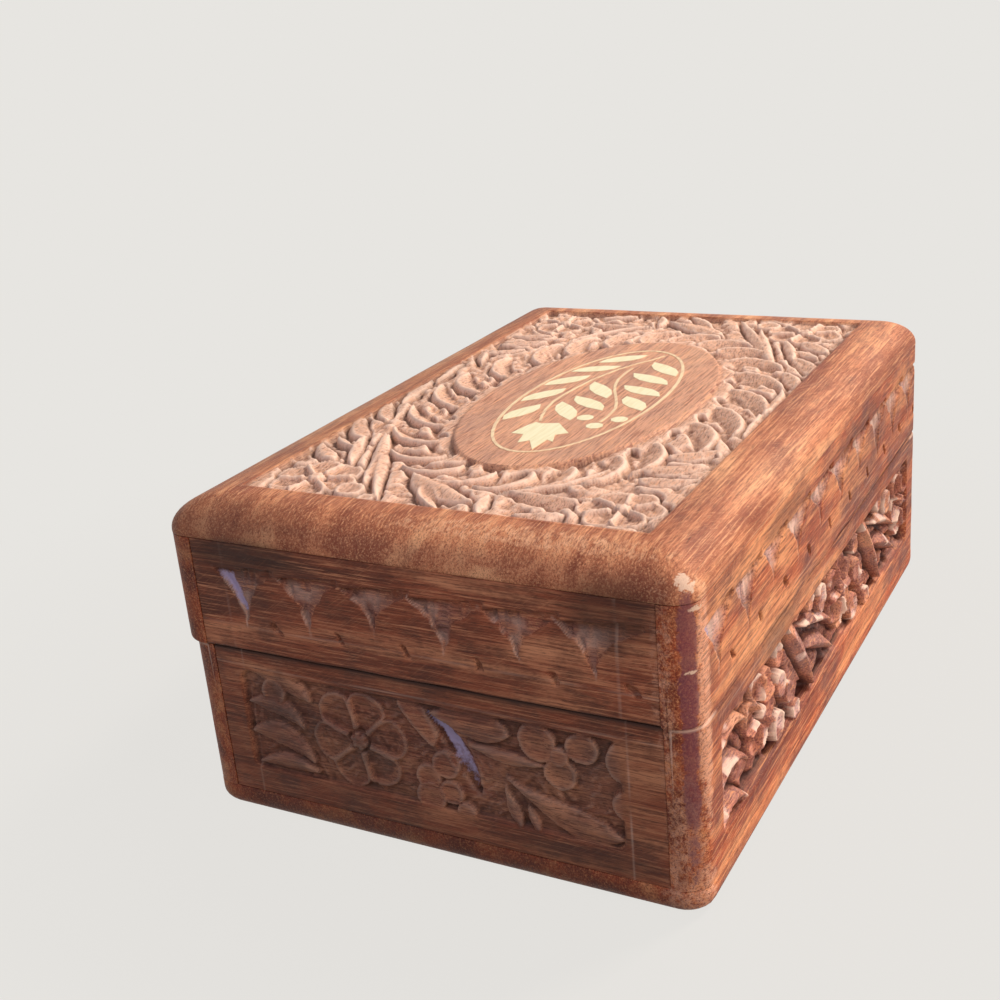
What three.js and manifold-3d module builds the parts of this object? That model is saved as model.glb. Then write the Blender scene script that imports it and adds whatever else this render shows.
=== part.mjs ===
// Carved wooden jewelry box with an inlaid lid, in millimetres, +Z up.
// The origin is the middle of the underside. The front looks along -Y, and the hinges are at +Y.
// A base of four walls on a board, and a lid of four walls under a carved top board, turn on two
// brass butt hinges let into the back rims. Each glued board, inlay, hinge leaf, pin and screw is a mesh.
import * as THREE from "three";
import { mergeVertices } from "three/addons/utils/BufferGeometryUtils.js";
import Module from "manifold-3d";

const wasm = await Module();
wasm.setup();

// Outer sizes
const LID_LENGTH = 150;
const LID_WIDTH = 101.6;
const OVERHANG = 0.8; // the lid stands over the base at the left end and at the back
const BASE_RIM = 35.3; // height of the base's rim above the table
const RIM_GAP = 0.4; // between the closed rims
const LID_WALL_HEIGHT = 21.2;
const TOP_THICKNESS = 6.5;
const BOTTOM_THICKNESS = 5;
const CORNER_RADIUS = 4.5;
const FOOT_ROUND = 2.8; // how far the bottom board's lower edge is rounded in
const TOP_ROUND_ACROSS = 10;
const TOP_ROUND_DOWN = 6;

// Walls and their glued corner joints
const WALL = 9;
const LAP = 6; // what is left of a long wall outside the end wall that it laps
const GLUE = 0.05;

// Linings
const LINING = 1;
const LINING_PLAY = 0.5;

// Carved fields
const TOP_BORDER = 11;
const TOP_SUNK = 2.3;
const PANEL_SUNK = 2.4;
const PANEL_FOOT = 5; // from the bottom board up to the base's panels
const PANEL_HEAD = 4.2; // from the panels up to the base's rim
const LONG_PANEL_MARGIN = 9.5; // from a long wall's end in to its panel
const END_PANEL_MARGIN = 12.5; // from the base's front and back faces in to the end panels
const PANEL_ROUND = 2.5;
const CREST_BELOW = 0.25; // the carving's crests stay this far under the face
const ROOT = 0.4; // how deep each carved form goes into its ground
const SHOULDER = 0.5; // share of their height to which the sides of the top's leaves stand upright
const PETALS = 6;

// The oval in the top, and the band of swept leaves round it
const OVAL_LENGTH = 84;
const OVAL_WIDTH = 46.6;
const OVAL_X = -1; // from the board's middle to the oval's
const OVAL_Y = -1.7;
const BAND_SIDE_WIDTH = 12.5;
const BAND_END_WIDTH = 8.5;
const BAND_LEAVES = 24;
const BAND_LEAF_WIDTH = 6.3;
const BAND_SWEEP = 0.27; // radians that a band leaf sweeps round the oval
const BAND_START = 1.8; // from the oval out to the leaves' inner tips
const COLLAR_WIDTH = 3; // the low step round the oval's long sides
const COLLAR_REACH = 0.8; // share of the oval's length that it runs along
const CORNER_FLOWER_RADIUS = 8.6;
const CORNER_FLOWER_MARGIN = 0.8;

// The vine in the long panels
const VINE_START = 12; // length of the fan of leaves in the vine's left end
const VINE_PITCH = 52;

// Scallops along the lid's walls
const SCALLOP_PITCH = 14.4;
const SCALLOP_MARGIN = 11.5; // from the wall's end in to the first cut
const SCALLOP_HEAD = 5.5; // from the top board down to the cuts
const SCALLOP_DROP = 8.4;
const SCALLOP_WIDTH = 10.4;
const SCALLOP_SUNK = 1.7;
const CHIP_HEIGHT = 4.8; // from the lid's rim up to the small chips
const CHIP_SIZE = 2.6;
const CHIP_SUNK = 0.9;

// Inlay in the oval
const RING_LENGTH = 69;
const RING_WIDTH = 30;
const RING_LINE = 0.7;
const STEM_LINE = 0.6;
const INLAY_LEAF_WIDTH = 4.2;
const INLAY_LEAF_SKEW = 0.18; // share of a leaf's length by which its two bulges are shifted apart
const INLAY_BUD_RADIUS = 1.75;
const INLAY_THICKNESS = 1.2;
const INLAY_PLAY = 0.06;
const INLAY_PROUD = 0.05;

// Butt hinges and their screws
const HINGE_LENGTH = 20;
const HINGE_FROM_MIDDLE = 42;
const HINGE_LEAF_WIDTH = 6.5; // from the pin's axis
const HINGE_LEAF_THICKNESS = 0.8;
const HINGE_LEAF_GAP = 0.3; // between the closed leaves
const PIN_INSET = 1.2; // from the base's back face in to the pin's axis
const PIN_RADIUS = 0.7;
const PIN_PLAY = 0.1;
const KNUCKLE_RADIUS = 1.7;
const KNUCKLE_GAP = 0.2;
const HINGE_PLAY = 0.25;
const STOP_BEVEL = 50; // degrees of the back rims' bevels, which meet and stop the lid at twice that
const SCREW_HEAD_RADIUS = 1.4;
const SCREW_HEAD_DEPTH = 0.6;
const SCREW_RADIUS = 0.7;
const SCREW_LENGTH = 7;
const SCREW_POINT = 1.5;
const SCREW_FROM_END = 4; // from the end of a hinge leaf in to its screw
const SCREW_FROM_PIN = 4.2;
const SCREW_PLAY = 0.08;
const SLOT_WIDTH = 0.4;
const SLOT_DEPTH = 0.3;

// Worked out from the sizes above
const BASE_LENGTH = LID_LENGTH - OVERHANG;
const BASE_WIDTH = LID_WIDTH - OVERHANG;
const LID_X = -OVERHANG / 2;
const LID_Y = OVERHANG / 2;
const BASE_FLOOR = BOTTOM_THICKNESS + GLUE;
const PARTING = BASE_RIM + RIM_GAP / 2;
const LID_RIM = BASE_RIM + RIM_GAP;
const LID_WALL_TOP = LID_RIM + LID_WALL_HEIGHT;
const TOP_UNDERSIDE = LID_WALL_TOP + GLUE;
const TOP = TOP_UNDERSIDE + TOP_THICKNESS;
const TOP_GROUND = TOP - TOP_SUNK;
const TOP_CREST = TOP_SUNK - CREST_BELOW;
const PANEL_HEIGHT = BASE_RIM - PANEL_HEAD - BASE_FLOOR - PANEL_FOOT;
const PANEL_MIDDLE = BASE_FLOOR + PANEL_FOOT + PANEL_HEIGHT / 2;
const PANEL_CREST = PANEL_SUNK - CREST_BELOW;
const LONG_PANEL_HALF = BASE_LENGTH / 2 - LONG_PANEL_MARGIN;
const END_PANEL_HALF = BASE_WIDTH / 2 - END_PANEL_MARGIN;
const FIELD_X = LID_LENGTH / 2 - TOP_BORDER;
const FIELD_Y = LID_WIDTH / 2 - TOP_BORDER;
const PIN_Y = BASE_WIDTH / 2 - PIN_INSET;

// Facets, and how far a cutting shape passes the face that it cuts
const CORNER_STEPS = 3;
const ROUND_STEPS = 4;
const OVAL_STEPS = 24;
const CURVE_STEPS = 4;
const STRIP_STEPS = 10;
const LEAF_STATIONS = 4;
const SMALL_ROUND = 8;
const KNUCKLE_ROUND = 16;
const MERGE = 1e-4;
const CUT = 1;

// The looks of the materials
const WOOD_TOP = { color: 0xc88a6c, roughness: 0.55, metalness: 0 };
const WOOD_SIDE = { color: 0x9a5a44, roughness: 0.5, metalness: 0 };
const WOOD_END = { color: 0x6e4535, roughness: 0.5, metalness: 0 };
const INLAY = { color: 0xf3eab8, roughness: 0.4, metalness: 0.6 };
const BRASS = { color: 0xb08d4a, roughness: 0.35, metalness: 1 };
const VELVET = { color: 0x5a1420, roughness: 0.95, metalness: 0 };

// Solids from three.js geometry, and back

function solid(geometry) {
  const bare = new THREE.BufferGeometry();
  bare.setAttribute("position", geometry.getAttribute("position"));
  bare.setIndex(geometry.getIndex());
  const merged = mergeVertices(bare, MERGE);
  const corners = merged.getIndex().array;
  const kept = [];
  for (let i = 0; i < corners.length; i += 3) {
    const [a, b, c] = corners.slice(i, i + 3);
    if (a !== b && b !== c && c !== a) kept.push(a, b, c);
  }
  const vertProperties = new Float32Array(merged.getAttribute("position").array);
  const triVerts = new Uint32Array(kept);
  return new wasm.Manifold(new wasm.Mesh({ numProp: 3, vertProperties, triVerts }));
}

function geometryOf(body) {
  const mesh = body.getMesh();
  const geometry = new THREE.BufferGeometry();
  geometry.setAttribute("position", new THREE.BufferAttribute(mesh.vertProperties, 3));
  geometry.setIndex(new THREE.BufferAttribute(mesh.triVerts, 1));
  const flat = geometry.toNonIndexed();
  flat.computeVertexNormals();
  return flat;
}

function meshOf(name, body, look) {
  const made = new THREE.Mesh(geometryOf(body), new THREE.MeshStandardMaterial(look));
  made.name = name;
  return made;
}

function union(bodies) {
  return wasm.Manifold.union(bodies);
}

// A flat shape made into a prism between two heights.
function prism(shape, low, high, curveSegments = CURVE_STEPS) {
  const settings = { depth: high - low, bevelEnabled: false, curveSegments };
  return solid(new THREE.ExtrudeGeometry(shape, settings).translate(0, 0, low));
}

function block(lowX, highX, lowY, highY, lowZ, highZ) {
  const box = new THREE.BoxGeometry(highX - lowX, highY - lowY, highZ - lowZ);
  return solid(box.translate((lowX + highX) / 2, (lowY + highY) / 2, (lowZ + highZ) / 2));
}

// A rod along X from one end to the other, round the line through (y, z).
function rod(radius, lowX, highX, y, z, sides) {
  const round = new THREE.CylinderGeometry(radius, radius, highX - lowX, sides);
  return solid(round.rotateZ(Math.PI / 2).translate((lowX + highX) / 2, y, z));
}

// Rings of equally many points joined into a closed skin, with a flat cap at each end.
function loft(rings) {
  const count = rings[0].length;
  const index = [];
  for (let start = 0; start < (rings.length - 1) * count; start += count) {
    for (let i = 0; i < count; i++) {
      const a = start + i;
      const b = start + ((i + 1) % count);
      index.push(a, b, b + count, a, b + count, a + count);
    }
  }
  const last = (rings.length - 1) * count;
  for (let i = 1; i + 1 < count; i++) {
    index.push(0, i + 1, i);
    index.push(last, last + i, last + i + 1);
  }
  const geometry = new THREE.BufferGeometry().setFromPoints(rings.flat());
  geometry.setIndex(index);
  return solid(geometry);
}

// Flat shapes

function roundedPlan(length, width, radius) {
  const x = length / 2 - radius;
  const y = width / 2 - radius;
  const plan = new THREE.Shape();
  plan.absarc(x, -y, radius, -Math.PI / 2, 0);
  plan.absarc(x, y, radius, 0, Math.PI / 2);
  plan.absarc(-x, y, radius, Math.PI / 2, Math.PI);
  plan.absarc(-x, -y, radius, Math.PI, 1.5 * Math.PI);
  return plan;
}

// The points of a rounded plan at one height, each one once.
function planRing(length, width, radius, height) {
  const points = roundedPlan(length, width, radius).getPoints(CORNER_STEPS);
  const distinct = points.filter((p, i) => i === 0 || p.distanceTo(points[i - 1]) > MERGE);
  if (distinct[0].distanceTo(distinct.at(-1)) < MERGE) distinct.pop();
  return distinct.map((p) => new THREE.Vector3(p.x, p.y, height));
}

function polygon(points) {
  return new THREE.Shape(points.map(([x, y]) => new THREE.Vector2(x, y)));
}

function rectangle(lowX, highX, lowY, highY) {
  return polygon([[lowX, lowY], [highX, lowY], [highX, highY], [lowX, highY]]);
}

function ellipse(length, width) {
  const shape = new THREE.Shape();
  shape.absellipse(0, 0, length / 2, width / 2, 0, 2 * Math.PI);
  return shape;
}

// A pointed leaf seen from above, between its two tips. With a skew its left side bulges nearer the
// first tip, and its right side as much nearer the second.
function leafOutline(from, to, width, skew) {
  const start = new THREE.Vector2(...from);
  const end = new THREE.Vector2(...to);
  const along = end.clone().sub(start);
  const aside = new THREE.Vector2(-along.y, along.x).setLength(width);
  const left = start.clone().lerp(end, 0.5 - skew).add(aside);
  const right = start.clone().lerp(end, 0.5 + skew).sub(aside);
  const shape = new THREE.Shape();
  shape.moveTo(start.x, start.y);
  shape.quadraticCurveTo(right.x, right.y, end.x, end.y);
  shape.quadraticCurveTo(left.x, left.y, start.x, start.y);
  return shape;
}

// A strip of even width along a smooth line through the points.
function stripOutline(points, width) {
  const line = new THREE.SplineCurve(points.map(([x, y]) => new THREE.Vector2(x, y)));
  const left = [];
  const right = [];
  for (let i = 0; i <= STRIP_STEPS; i++) {
    const { x, y } = line.getPoint(i / STRIP_STEPS);
    const tangent = line.getTangent(i / STRIP_STEPS);
    const aside = [(-tangent.y * width) / 2, (tangent.x * width) / 2];
    left.push([x + aside[0], y + aside[1]]);
    right.unshift([x - aside[0], y - aside[1]]);
  }
  return polygon([...left, ...right]);
}

// Carved forms, which stand on a ground at z = 0 and look up

// A leaf with a crest along a bowed line from one tip to the other. The belly puts its widest place
// nearer the first tip (below 1) or the second (above 1), and a positive bow bends it to the left.
// Its sides stand upright to the shoulder, a share of its height, and slope from there to the crest.
function leaf(from, to, width, height, bow = 0, belly = 1, shoulder = 0) {
  const start = new THREE.Vector2(...from);
  const end = new THREE.Vector2(...to);
  const along = end.clone().sub(start);
  const aside = new THREE.Vector2(-along.y, along.x).normalize();
  const middle = start.clone().lerp(end, 0.5).addScaledVector(aside, 2 * bow);
  const line = new THREE.QuadraticBezierCurve(start, middle, end);
  const rings = [];
  for (let i = 0; i <= LEAF_STATIONS; i++) {
    const swell = Math.max(Math.sin(Math.PI * (i / LEAF_STATIONS) ** belly), 0);
    const point = line.getPoint(i / LEAF_STATIONS);
    const tangent = line.getTangent(i / LEAF_STATIONS);
    const half = (width / 2) * swell ** 0.8;
    const rise = (height + ROOT) * swell ** 0.5;
    const right = [point.x + tangent.y * half, point.y - tangent.x * half];
    const left = [point.x - tangent.y * half, point.y + tangent.x * half];
    rings.push([
      new THREE.Vector3(...right, -ROOT),
      new THREE.Vector3(...left, -ROOT),
      new THREE.Vector3(...left, shoulder * rise - ROOT),
      new THREE.Vector3(point.x, point.y, rise - ROOT),
      new THREE.Vector3(...right, shoulder * rise - ROOT),
    ]);
  }
  return loft(rings);
}

// A round bud or boss, narrower at its top.
function bud([x, y], radius, height) {
  const dome = new THREE.CylinderGeometry(radius * 0.55, radius, height + ROOT, SMALL_ROUND);
  return solid(dome.rotateX(Math.PI / 2).translate(x, y, (height - ROOT) / 2));
}

function flower([x, y], radius, height, turn = 0) {
  const made = [bud([x, y], radius * 0.22, height)];
  for (let i = 0; i < PETALS; i++) {
    const angle = turn + (2 * Math.PI * i) / PETALS;
    const reach = (share) => [x + share * radius * Math.cos(angle), y + share * radius * Math.sin(angle)];
    made.push(leaf(reach(0.16), reach(1), radius * 0.72, height, 0, 1.6));
  }
  return union(made);
}

// Walls. Each is made lying on its inner face along X, with its outer face at z = 0 and its heights on Y.

// A long wall seen from above: rounded at both outer corners, and lapped over the end walls inside.
function longWallPlan(length) {
  const half = length / 2;
  const plan = new THREE.Shape();
  plan.moveTo(-half, -LAP);
  plan.lineTo(-half + WALL, -LAP);
  plan.lineTo(-half + WALL, -WALL);
  plan.lineTo(half - WALL, -WALL);
  plan.lineTo(half - WALL, -LAP);
  plan.lineTo(half, -LAP);
  plan.absarc(half - CORNER_RADIUS, -CORNER_RADIUS, CORNER_RADIUS, 0, Math.PI / 2);
  plan.absarc(-half + CORNER_RADIUS, -CORNER_RADIUS, CORNER_RADIUS, Math.PI / 2, Math.PI);
  return plan;
}

function longWallBlank(length, low, high) {
  const settings = { depth: high - low, bevelEnabled: false, curveSegments: CORNER_STEPS };
  const upright = new THREE.ExtrudeGeometry(longWallPlan(length), settings);
  return solid(upright.rotateX(Math.PI / 2).translate(0, high, 0));
}

function endWallBlank(width, low, high) {
  const half = width / 2 - LAP - GLUE;
  return block(-half, half, low, high, -WALL + GLUE, 0);
}

// The sunk panel of a base wall, with a relief left standing in it.
function carvePanel(wall, half, relief) {
  const plan = roundedPlan(2 * half, PANEL_HEIGHT, PANEL_ROUND);
  const sunk = prism(plan, -PANEL_SUNK, CUT).translate([0, PANEL_MIDDLE, 0]);
  const within = prism(plan, -PANEL_SUNK - ROOT, CUT).translate([0, PANEL_MIDDLE, 0]);
  const standing = relief.translate([0, PANEL_MIDDLE, -PANEL_SUNK]);
  return wall.subtract(sunk).add(standing.intersect(within));
}

// The vine of the long panels: a fan of leaves in the left end, then flowers between swept leaves.
function longVine(half) {
  const h = PANEL_HEIGHT / 2;
  const made = [];
  for (const rise of [-0.75, 0, 0.75]) {
    const root = [-half, (rise - 0.3) * h];
    const tip = [-half + VINE_START, (rise + 0.2) * h];
    made.push(leaf(root, tip, 0.5 * h, PANEL_CREST, 0.19 * h));
  }
  for (let start = -half + VINE_START; start < half; start += VINE_PITCH) {
    const at = (share, rise) => [start + share * VINE_PITCH, rise * h];
    made.push(flower(at(0.2, 0.05), 0.85 * h, PANEL_CREST, start));
    made.push(leaf(at(0.4, 0.9), at(0.66, -0.9), 0.5 * h, PANEL_CREST, 0.15 * h));
    made.push(leaf(at(0.56, 0.8), at(0.86, -0.1), 0.4 * h, PANEL_CREST, 0.12 * h));
    made.push(leaf(at(0.66, 0), at(0.92, -0.85), 0.4 * h, PANEL_CREST, 0.1 * h));
    made.push(bud(at(0.84, 0.6), 0.26 * h, PANEL_CREST));
    made.push(bud(at(0.46, -0.66), 0.24 * h, PANEL_CREST));
  }
  return union(made);
}

// The spray of the end panels: a six-petalled flower, a swept blade, buds and a lobed leaf.
function endSpray(half) {
  const h = PANEL_HEIGHT / 2;
  const at = (share, rise) => [share * half, rise * h];
  const swept = (from, to, width, bow) => leaf(at(...from), at(...to), width * h, PANEL_CREST, bow * h);
  const round = (share, rise, radius) => bud(at(share, rise), radius * h, PANEL_CREST);
  return union([
    flower(at(-0.35, 0.02), 0.9 * h, PANEL_CREST, 0.4),
    swept([-0.16, 0.9], [-0.02, 0.25], 0.4, 0.1),
    swept([0.03, 0.8], [0.27, -0.5], 0.4, 0.18),
    swept([0.3, 0.28], [0.62, 0.2], 0.28, -0.06),
    swept([0.38, 0.1], [0.94, -0.8], 0.42, -0.16),
    swept([0.46, -0.4], [0.52, -0.92], 0.3, 0),
    swept([0.58, -0.5], [0.68, -0.9], 0.26, 0),
    swept([-0.96, 0.5], [-0.64, -0.35], 0.42, 0.2),
    swept([-0.92, -0.5], [-0.6, -0.85], 0.34, 0.1),
    round(0.08, -0.12, 0.3),
    round(0.02, -0.62, 0.3),
    round(0.18, -0.64, 0.28),
    round(0.61, 0.64, 0.33),
    round(0.8, 0.74, 0.26),
    round(0.71, 0.16, 0.28),
    round(0.99, 0.55, 0.34),
    round(0.99, -0.1, 0.3),
    round(-0.8, 0.72, 0.26),
  ]);
}

// Cuts a row of spandrels between round-headed scallops, and a chip under each scallop.
function carveScallops(wall, half) {
  const head = LID_WALL_TOP - SCALLOP_HEAD;
  const shoulder = head - SCALLOP_DROP * 0.2;
  const waist = SCALLOP_WIDTH * 0.08;
  const chipLow = LID_RIM + CHIP_HEIGHT;
  const spandrel = new THREE.Shape();
  spandrel.moveTo(-SCALLOP_WIDTH / 2, head);
  spandrel.quadraticCurveTo(-waist, shoulder, 0, head - SCALLOP_DROP);
  spandrel.quadraticCurveTo(waist, shoulder, SCALLOP_WIDTH / 2, head);
  const chip = polygon([[0, chipLow], [CHIP_SIZE, chipLow], [CHIP_SIZE * 0.2, chipLow + CHIP_SIZE]]);
  const sunkSpandrel = prism(spandrel, -SCALLOP_SUNK, CUT);
  const sunkChip = prism(chip, -CHIP_SUNK, CUT);
  const count = Math.max(Math.round((2 * (half - SCALLOP_MARGIN)) / SCALLOP_PITCH), 1);
  const pitch = (2 * (half - SCALLOP_MARGIN)) / count;
  const cuts = [];
  for (let i = 0; i <= count; i++) {
    const x = -half + SCALLOP_MARGIN + i * pitch;
    cuts.push(sunkSpandrel.translate([x, 0, 0]));
    if (i < count) cuts.push(sunkChip.translate([x + pitch / 2, 0, 0]));
  }
  return wall.subtract(union(cuts));
}

// The carved top

// The point at an angle on an oval that lies a number of millimetres outside the plain one. The oval
// and its band are made round the origin and then moved to their place.
function roundOval(angle, endward, sideward) {
  const x = (OVAL_LENGTH / 2 + endward) * Math.cos(angle);
  const y = (OVAL_WIDTH / 2 + sideward) * Math.sin(angle);
  return [x, y];
}

// Leaves that sweep outwards round the oval, all the same way, blunt at the oval and pointed outside.
function leafBand() {
  const w = BAND_LEAF_WIDTH;
  const made = [];
  for (let i = 0; i < BAND_LEAVES; i++) {
    const angle = (2 * Math.PI * i) / BAND_LEAVES;
    const inner = roundOval(angle, BAND_START, BAND_START);
    const outer = roundOval(angle - BAND_SWEEP, BAND_END_WIDTH, BAND_SIDE_WIDTH);
    made.push(leaf(inner, outer, w, TOP_CREST, 0.35 * w, 0.62, SHOULDER));
  }
  return union(made);
}

// The low step that the band's leaves rise from along the oval's long sides.
function collar() {
  const step = ellipse(OVAL_LENGTH + 2 * COLLAR_WIDTH, OVAL_WIDTH + 2 * COLLAR_WIDTH);
  const half = (COLLAR_REACH * OVAL_LENGTH) / 2;
  const reach = block(-half, half, -FIELD_Y, FIELD_Y, -ROOT, TOP_CREST);
  return prism(step, -ROOT, 0.7 * TOP_CREST, OVAL_STEPS).intersect(reach);
}

// The leaves of half of what stands round the band. Places are shares of the field's half length and
// half width, and each leaf's width and bow are shares of a band leaf's width.
const SPRAYS = [
  { from: [-1, 0.27], to: [-0.46, 0.74], width: 0.57, bow: 0.11 },
  { from: [-0.9, 0.46], to: [-0.46, 0.765], width: 0.6, bow: -0.13 },
  { from: [-0.76, 0.66], to: [-0.5, 0.84], width: 0.54, bow: 0.13 },
  { from: [-0.93, -0.16], to: [-0.77, 0.31], width: 1.02, bow: 0.19 },
  { from: [-0.85, -0.58], to: [-0.83, -0.23], width: 1.08, bow: 0.08 },
  { from: [-0.98, -0.36], to: [-0.93, -0.58], width: 0.67, bow: -0.13 },
  { from: [-0.73, 0.78], to: [-0.61, 0.98], width: 0.76, bow: 0.16 },
  { from: [-0.53, 0.83], to: [-0.36, 0.98], width: 0.86, bow: 0.25 },
  { from: [-0.37, 0.85], to: [-0.2, 0.98], width: 0.7, bow: 0.21 },
  { from: [-0.66, -0.72], to: [-0.62, -0.97], width: 0.79, bow: -0.14 },
  { from: [-0.58, -0.68], to: [-0.5, -0.96], width: 0.86, bow: -0.16 },
  { from: [-0.47, -0.73], to: [-0.38, -0.97], width: 0.73, bow: -0.14 },
];

// Two corner flowers, a bud and the leaves between them. The other half is this one turned round.
function sprays() {
  const flowerX = FIELD_X - CORNER_FLOWER_RADIUS - CORNER_FLOWER_MARGIN;
  const flowerY = FIELD_Y - CORNER_FLOWER_RADIUS - CORNER_FLOWER_MARGIN;
  const w = BAND_LEAF_WIDTH;
  const at = ([x, y]) => [x * FIELD_X, y * FIELD_Y];
  const leaves = SPRAYS.map(({ from, to, width, bow }) =>
    leaf(at(from), at(to), width * w, TOP_CREST, bow * w, 1, SHOULDER),
  );
  return union([
    flower([-flowerX, flowerY], CORNER_FLOWER_RADIUS, TOP_CREST, 0.3),
    flower([-flowerX, -flowerY], CORNER_FLOWER_RADIUS, TOP_CREST, 0.6),
    bud(at([-0.93, 0.49]), 0.5 * w, TOP_CREST),
    ...leaves,
  ]);
}

// The top board with its rounded upper edge: rings that step in along a quarter of an ellipse.
function roundedBoard() {
  const rings = [planRing(LID_LENGTH, LID_WIDTH, CORNER_RADIUS, TOP_UNDERSIDE)];
  for (let i = 0; i <= ROUND_STEPS; i++) {
    const angle = (i / ROUND_STEPS) * (Math.PI / 2);
    const inset = TOP_ROUND_ACROSS * (1 - Math.cos(angle));
    const height = TOP - TOP_ROUND_DOWN * (1 - Math.sin(angle));
    rings.push(planRing(LID_LENGTH - 2 * inset, LID_WIDTH - 2 * inset, CORNER_RADIUS, height));
  }
  return loft(rings);
}

function topBoard() {
  const plan = rectangle(-FIELD_X, FIELD_X, -FIELD_Y, FIELD_Y);
  const ovalPlan = ellipse(OVAL_LENGTH, OVAL_WIDTH);
  const upright = prism(ovalPlan, TOP_GROUND - 2 * ROOT, TOP + 2 * CUT, OVAL_STEPS);
  const oval = upright.translate([OVAL_X, OVAL_Y, 0]);
  const sunk = prism(plan, TOP_GROUND, TOP + CUT).subtract(oval);
  const within = prism(plan, TOP_GROUND - ROOT, TOP + CUT).subtract(oval);
  const half = sprays();
  const band = union([leafBand(), collar()]).translate([OVAL_X, OVAL_Y, 0]);
  const relief = union([band, half, half.rotate([0, 0, 180])]);
  const pockets = inlays().map(({ shape }) => inlayBody(shape, INLAY_PLAY, CUT));
  const standing = relief.translate([0, 0, TOP_GROUND]).intersect(within);
  return roundedBoard().subtract(sunk).add(standing).subtract(union(pockets));
}

// The inlay. Its places are shares of the ring's half length and half width.

const INLAY_FLOWER = [
  [-0.72, 0.4], [-0.725, 0.22], [-0.855, 0.15], [-0.81, 0.03], [-0.94, -0.15],
  [-0.775, -0.175], [-0.8, -0.28], [-0.69, -0.19], [-0.645, -0.33],
  [-0.5, -0.04], [-0.53, 0.19], [-0.515, 0.28], [-0.585, 0.34],
];
const INLAY_STEMS = [
  [
    [-0.49, 0.245], [-0.375, 0.34], [-0.205, 0.43], [-0.05, 0.44], [0.13, 0.4],
    [0.365, 0.31], [0.635, 0.1], [0.76, -0.09], [0.9, -0.24],
  ],
  [
    [-0.43, -0.545], [-0.285, -0.545], [-0.145, -0.49], [0.04, -0.3],
    [0.205, -0.12], [0.4, -0.01], [0.6, -0.01],
  ],
];
const INLAY_BACK_LEAVES = [
  [[-0.52, 0.77], [-0.205, 0.56]],
  [[-0.18, 0.9], [0.12, 0.53]],
  [[0.145, 0.91], [0.4, 0.45]],
  [[0.45, 0.81], [0.63, 0.2]],
  [[0.67, 0.6], [0.895, 0.03]],
];
const INLAY_FRONT_LEAVES = [
  [[-0.44, -0.13], [-0.13, 0.32]],
  [[-0.235, -0.38], [-0.01, 0.24]],
  [[-0.015, -0.22], [0.28, 0.26]],
  [[-0.19, -0.9], [0.05, -0.45]],
  [[0.085, -0.9], [0.25, -0.22]],
  [[0.31, -0.81], [0.5, -0.12]],
  [[0.485, -0.77], [0.75, -0.21]],
];
const INLAY_BUDS = [[-0.375, -0.28], [-0.495, -0.535], [-0.36, -0.75]];

// Each inlay piece's name and outline.
function inlays() {
  const at = ([x, y]) => [(x * RING_LENGTH) / 2, (y * RING_WIDTH) / 2];
  const ringShape = ellipse(RING_LENGTH, RING_WIDTH);
  ringShape.holes.push(ellipse(RING_LENGTH - 2 * RING_LINE, RING_WIDTH - 2 * RING_LINE));
  const made = [
    { name: "inlay_ring", shape: ringShape },
    { name: "inlay_flower", shape: polygon(INLAY_FLOWER.map(at)) },
  ];
  INLAY_STEMS.forEach((points, i) => {
    made.push({ name: `inlay_stem_${i + 1}`, shape: stripOutline(points.map(at), STEM_LINE) });
  });
  [...INLAY_BACK_LEAVES, ...INLAY_FRONT_LEAVES].forEach(([from, to], i) => {
    const skew = i < INLAY_BACK_LEAVES.length ? INLAY_LEAF_SKEW : -INLAY_LEAF_SKEW;
    made.push({ name: `inlay_leaf_${i + 1}`, shape: leafOutline(at(from), at(to), INLAY_LEAF_WIDTH, skew) });
  });
  INLAY_BUDS.forEach((place, i) => {
    const shape = new THREE.Shape().absarc(...at(place), INLAY_BUD_RADIUS, 0, 2 * Math.PI);
    made.push({ name: `inlay_bud_${i + 1}`, shape });
  });
  return made;
}

// A piece of inlay, or with play the pocket for it, which the rise lets through the top.
function inlayBody(shape, play, rise) {
  const bottom = TOP - INLAY_THICKNESS - play;
  const geometry = new THREE.ExtrudeGeometry(shape, {
    depth: TOP + rise - bottom,
    bevelEnabled: true,
    bevelThickness: 0,
    bevelSize: 0,
    bevelOffset: play,
    bevelSegments: 0,
    curveSegments: shape.holes.length ? OVAL_STEPS : CURVE_STEPS,
  });
  return solid(geometry.translate(OVAL_X, OVAL_Y, bottom));
}

// Hinges. In a hinge's own frame X runs along the pin, +Y points out at the back and Z is up.
// The leaf of the base lies below the pin (side -1) and the leaf of the lid above it (side 1).

const KNUCKLES = [
  { side: -1, low: -HINGE_LENGTH / 2, high: -HINGE_LENGTH / 6 },
  { side: 1, low: -HINGE_LENGTH / 6, high: HINGE_LENGTH / 6 },
  { side: -1, low: HINGE_LENGTH / 6, high: HINGE_LENGTH / 2 },
];

// A flat shape in the YZ plane made into a bar along X.
function barAlongX(shape, lowX, highX) {
  const axes = [new THREE.Vector3(0, 1, 0), new THREE.Vector3(0, 0, 1), new THREE.Vector3(1, 0, 0)];
  const settings = { depth: highX - lowX, bevelEnabled: false };
  const geometry = new THREE.ExtrudeGeometry(shape, settings).translate(0, 0, lowX);
  return solid(geometry.applyMatrix4(new THREE.Matrix4().makeBasis(...axes)));
}

// A slab of a hinge leaf's outline, on its side of the parting.
function leafSlab(side, play, rise) {
  const near = HINGE_LEAF_GAP / 2 - rise;
  const far = HINGE_LEAF_GAP / 2 + HINGE_LEAF_THICKNESS + (play > 0 ? GLUE : 0);
  const heights = side > 0 ? [near, far] : [-far, -near];
  const half = HINGE_LENGTH / 2 + play;
  return block(-half, half, -HINGE_LEAF_WIDTH - play, 0, ...heights);
}

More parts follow.
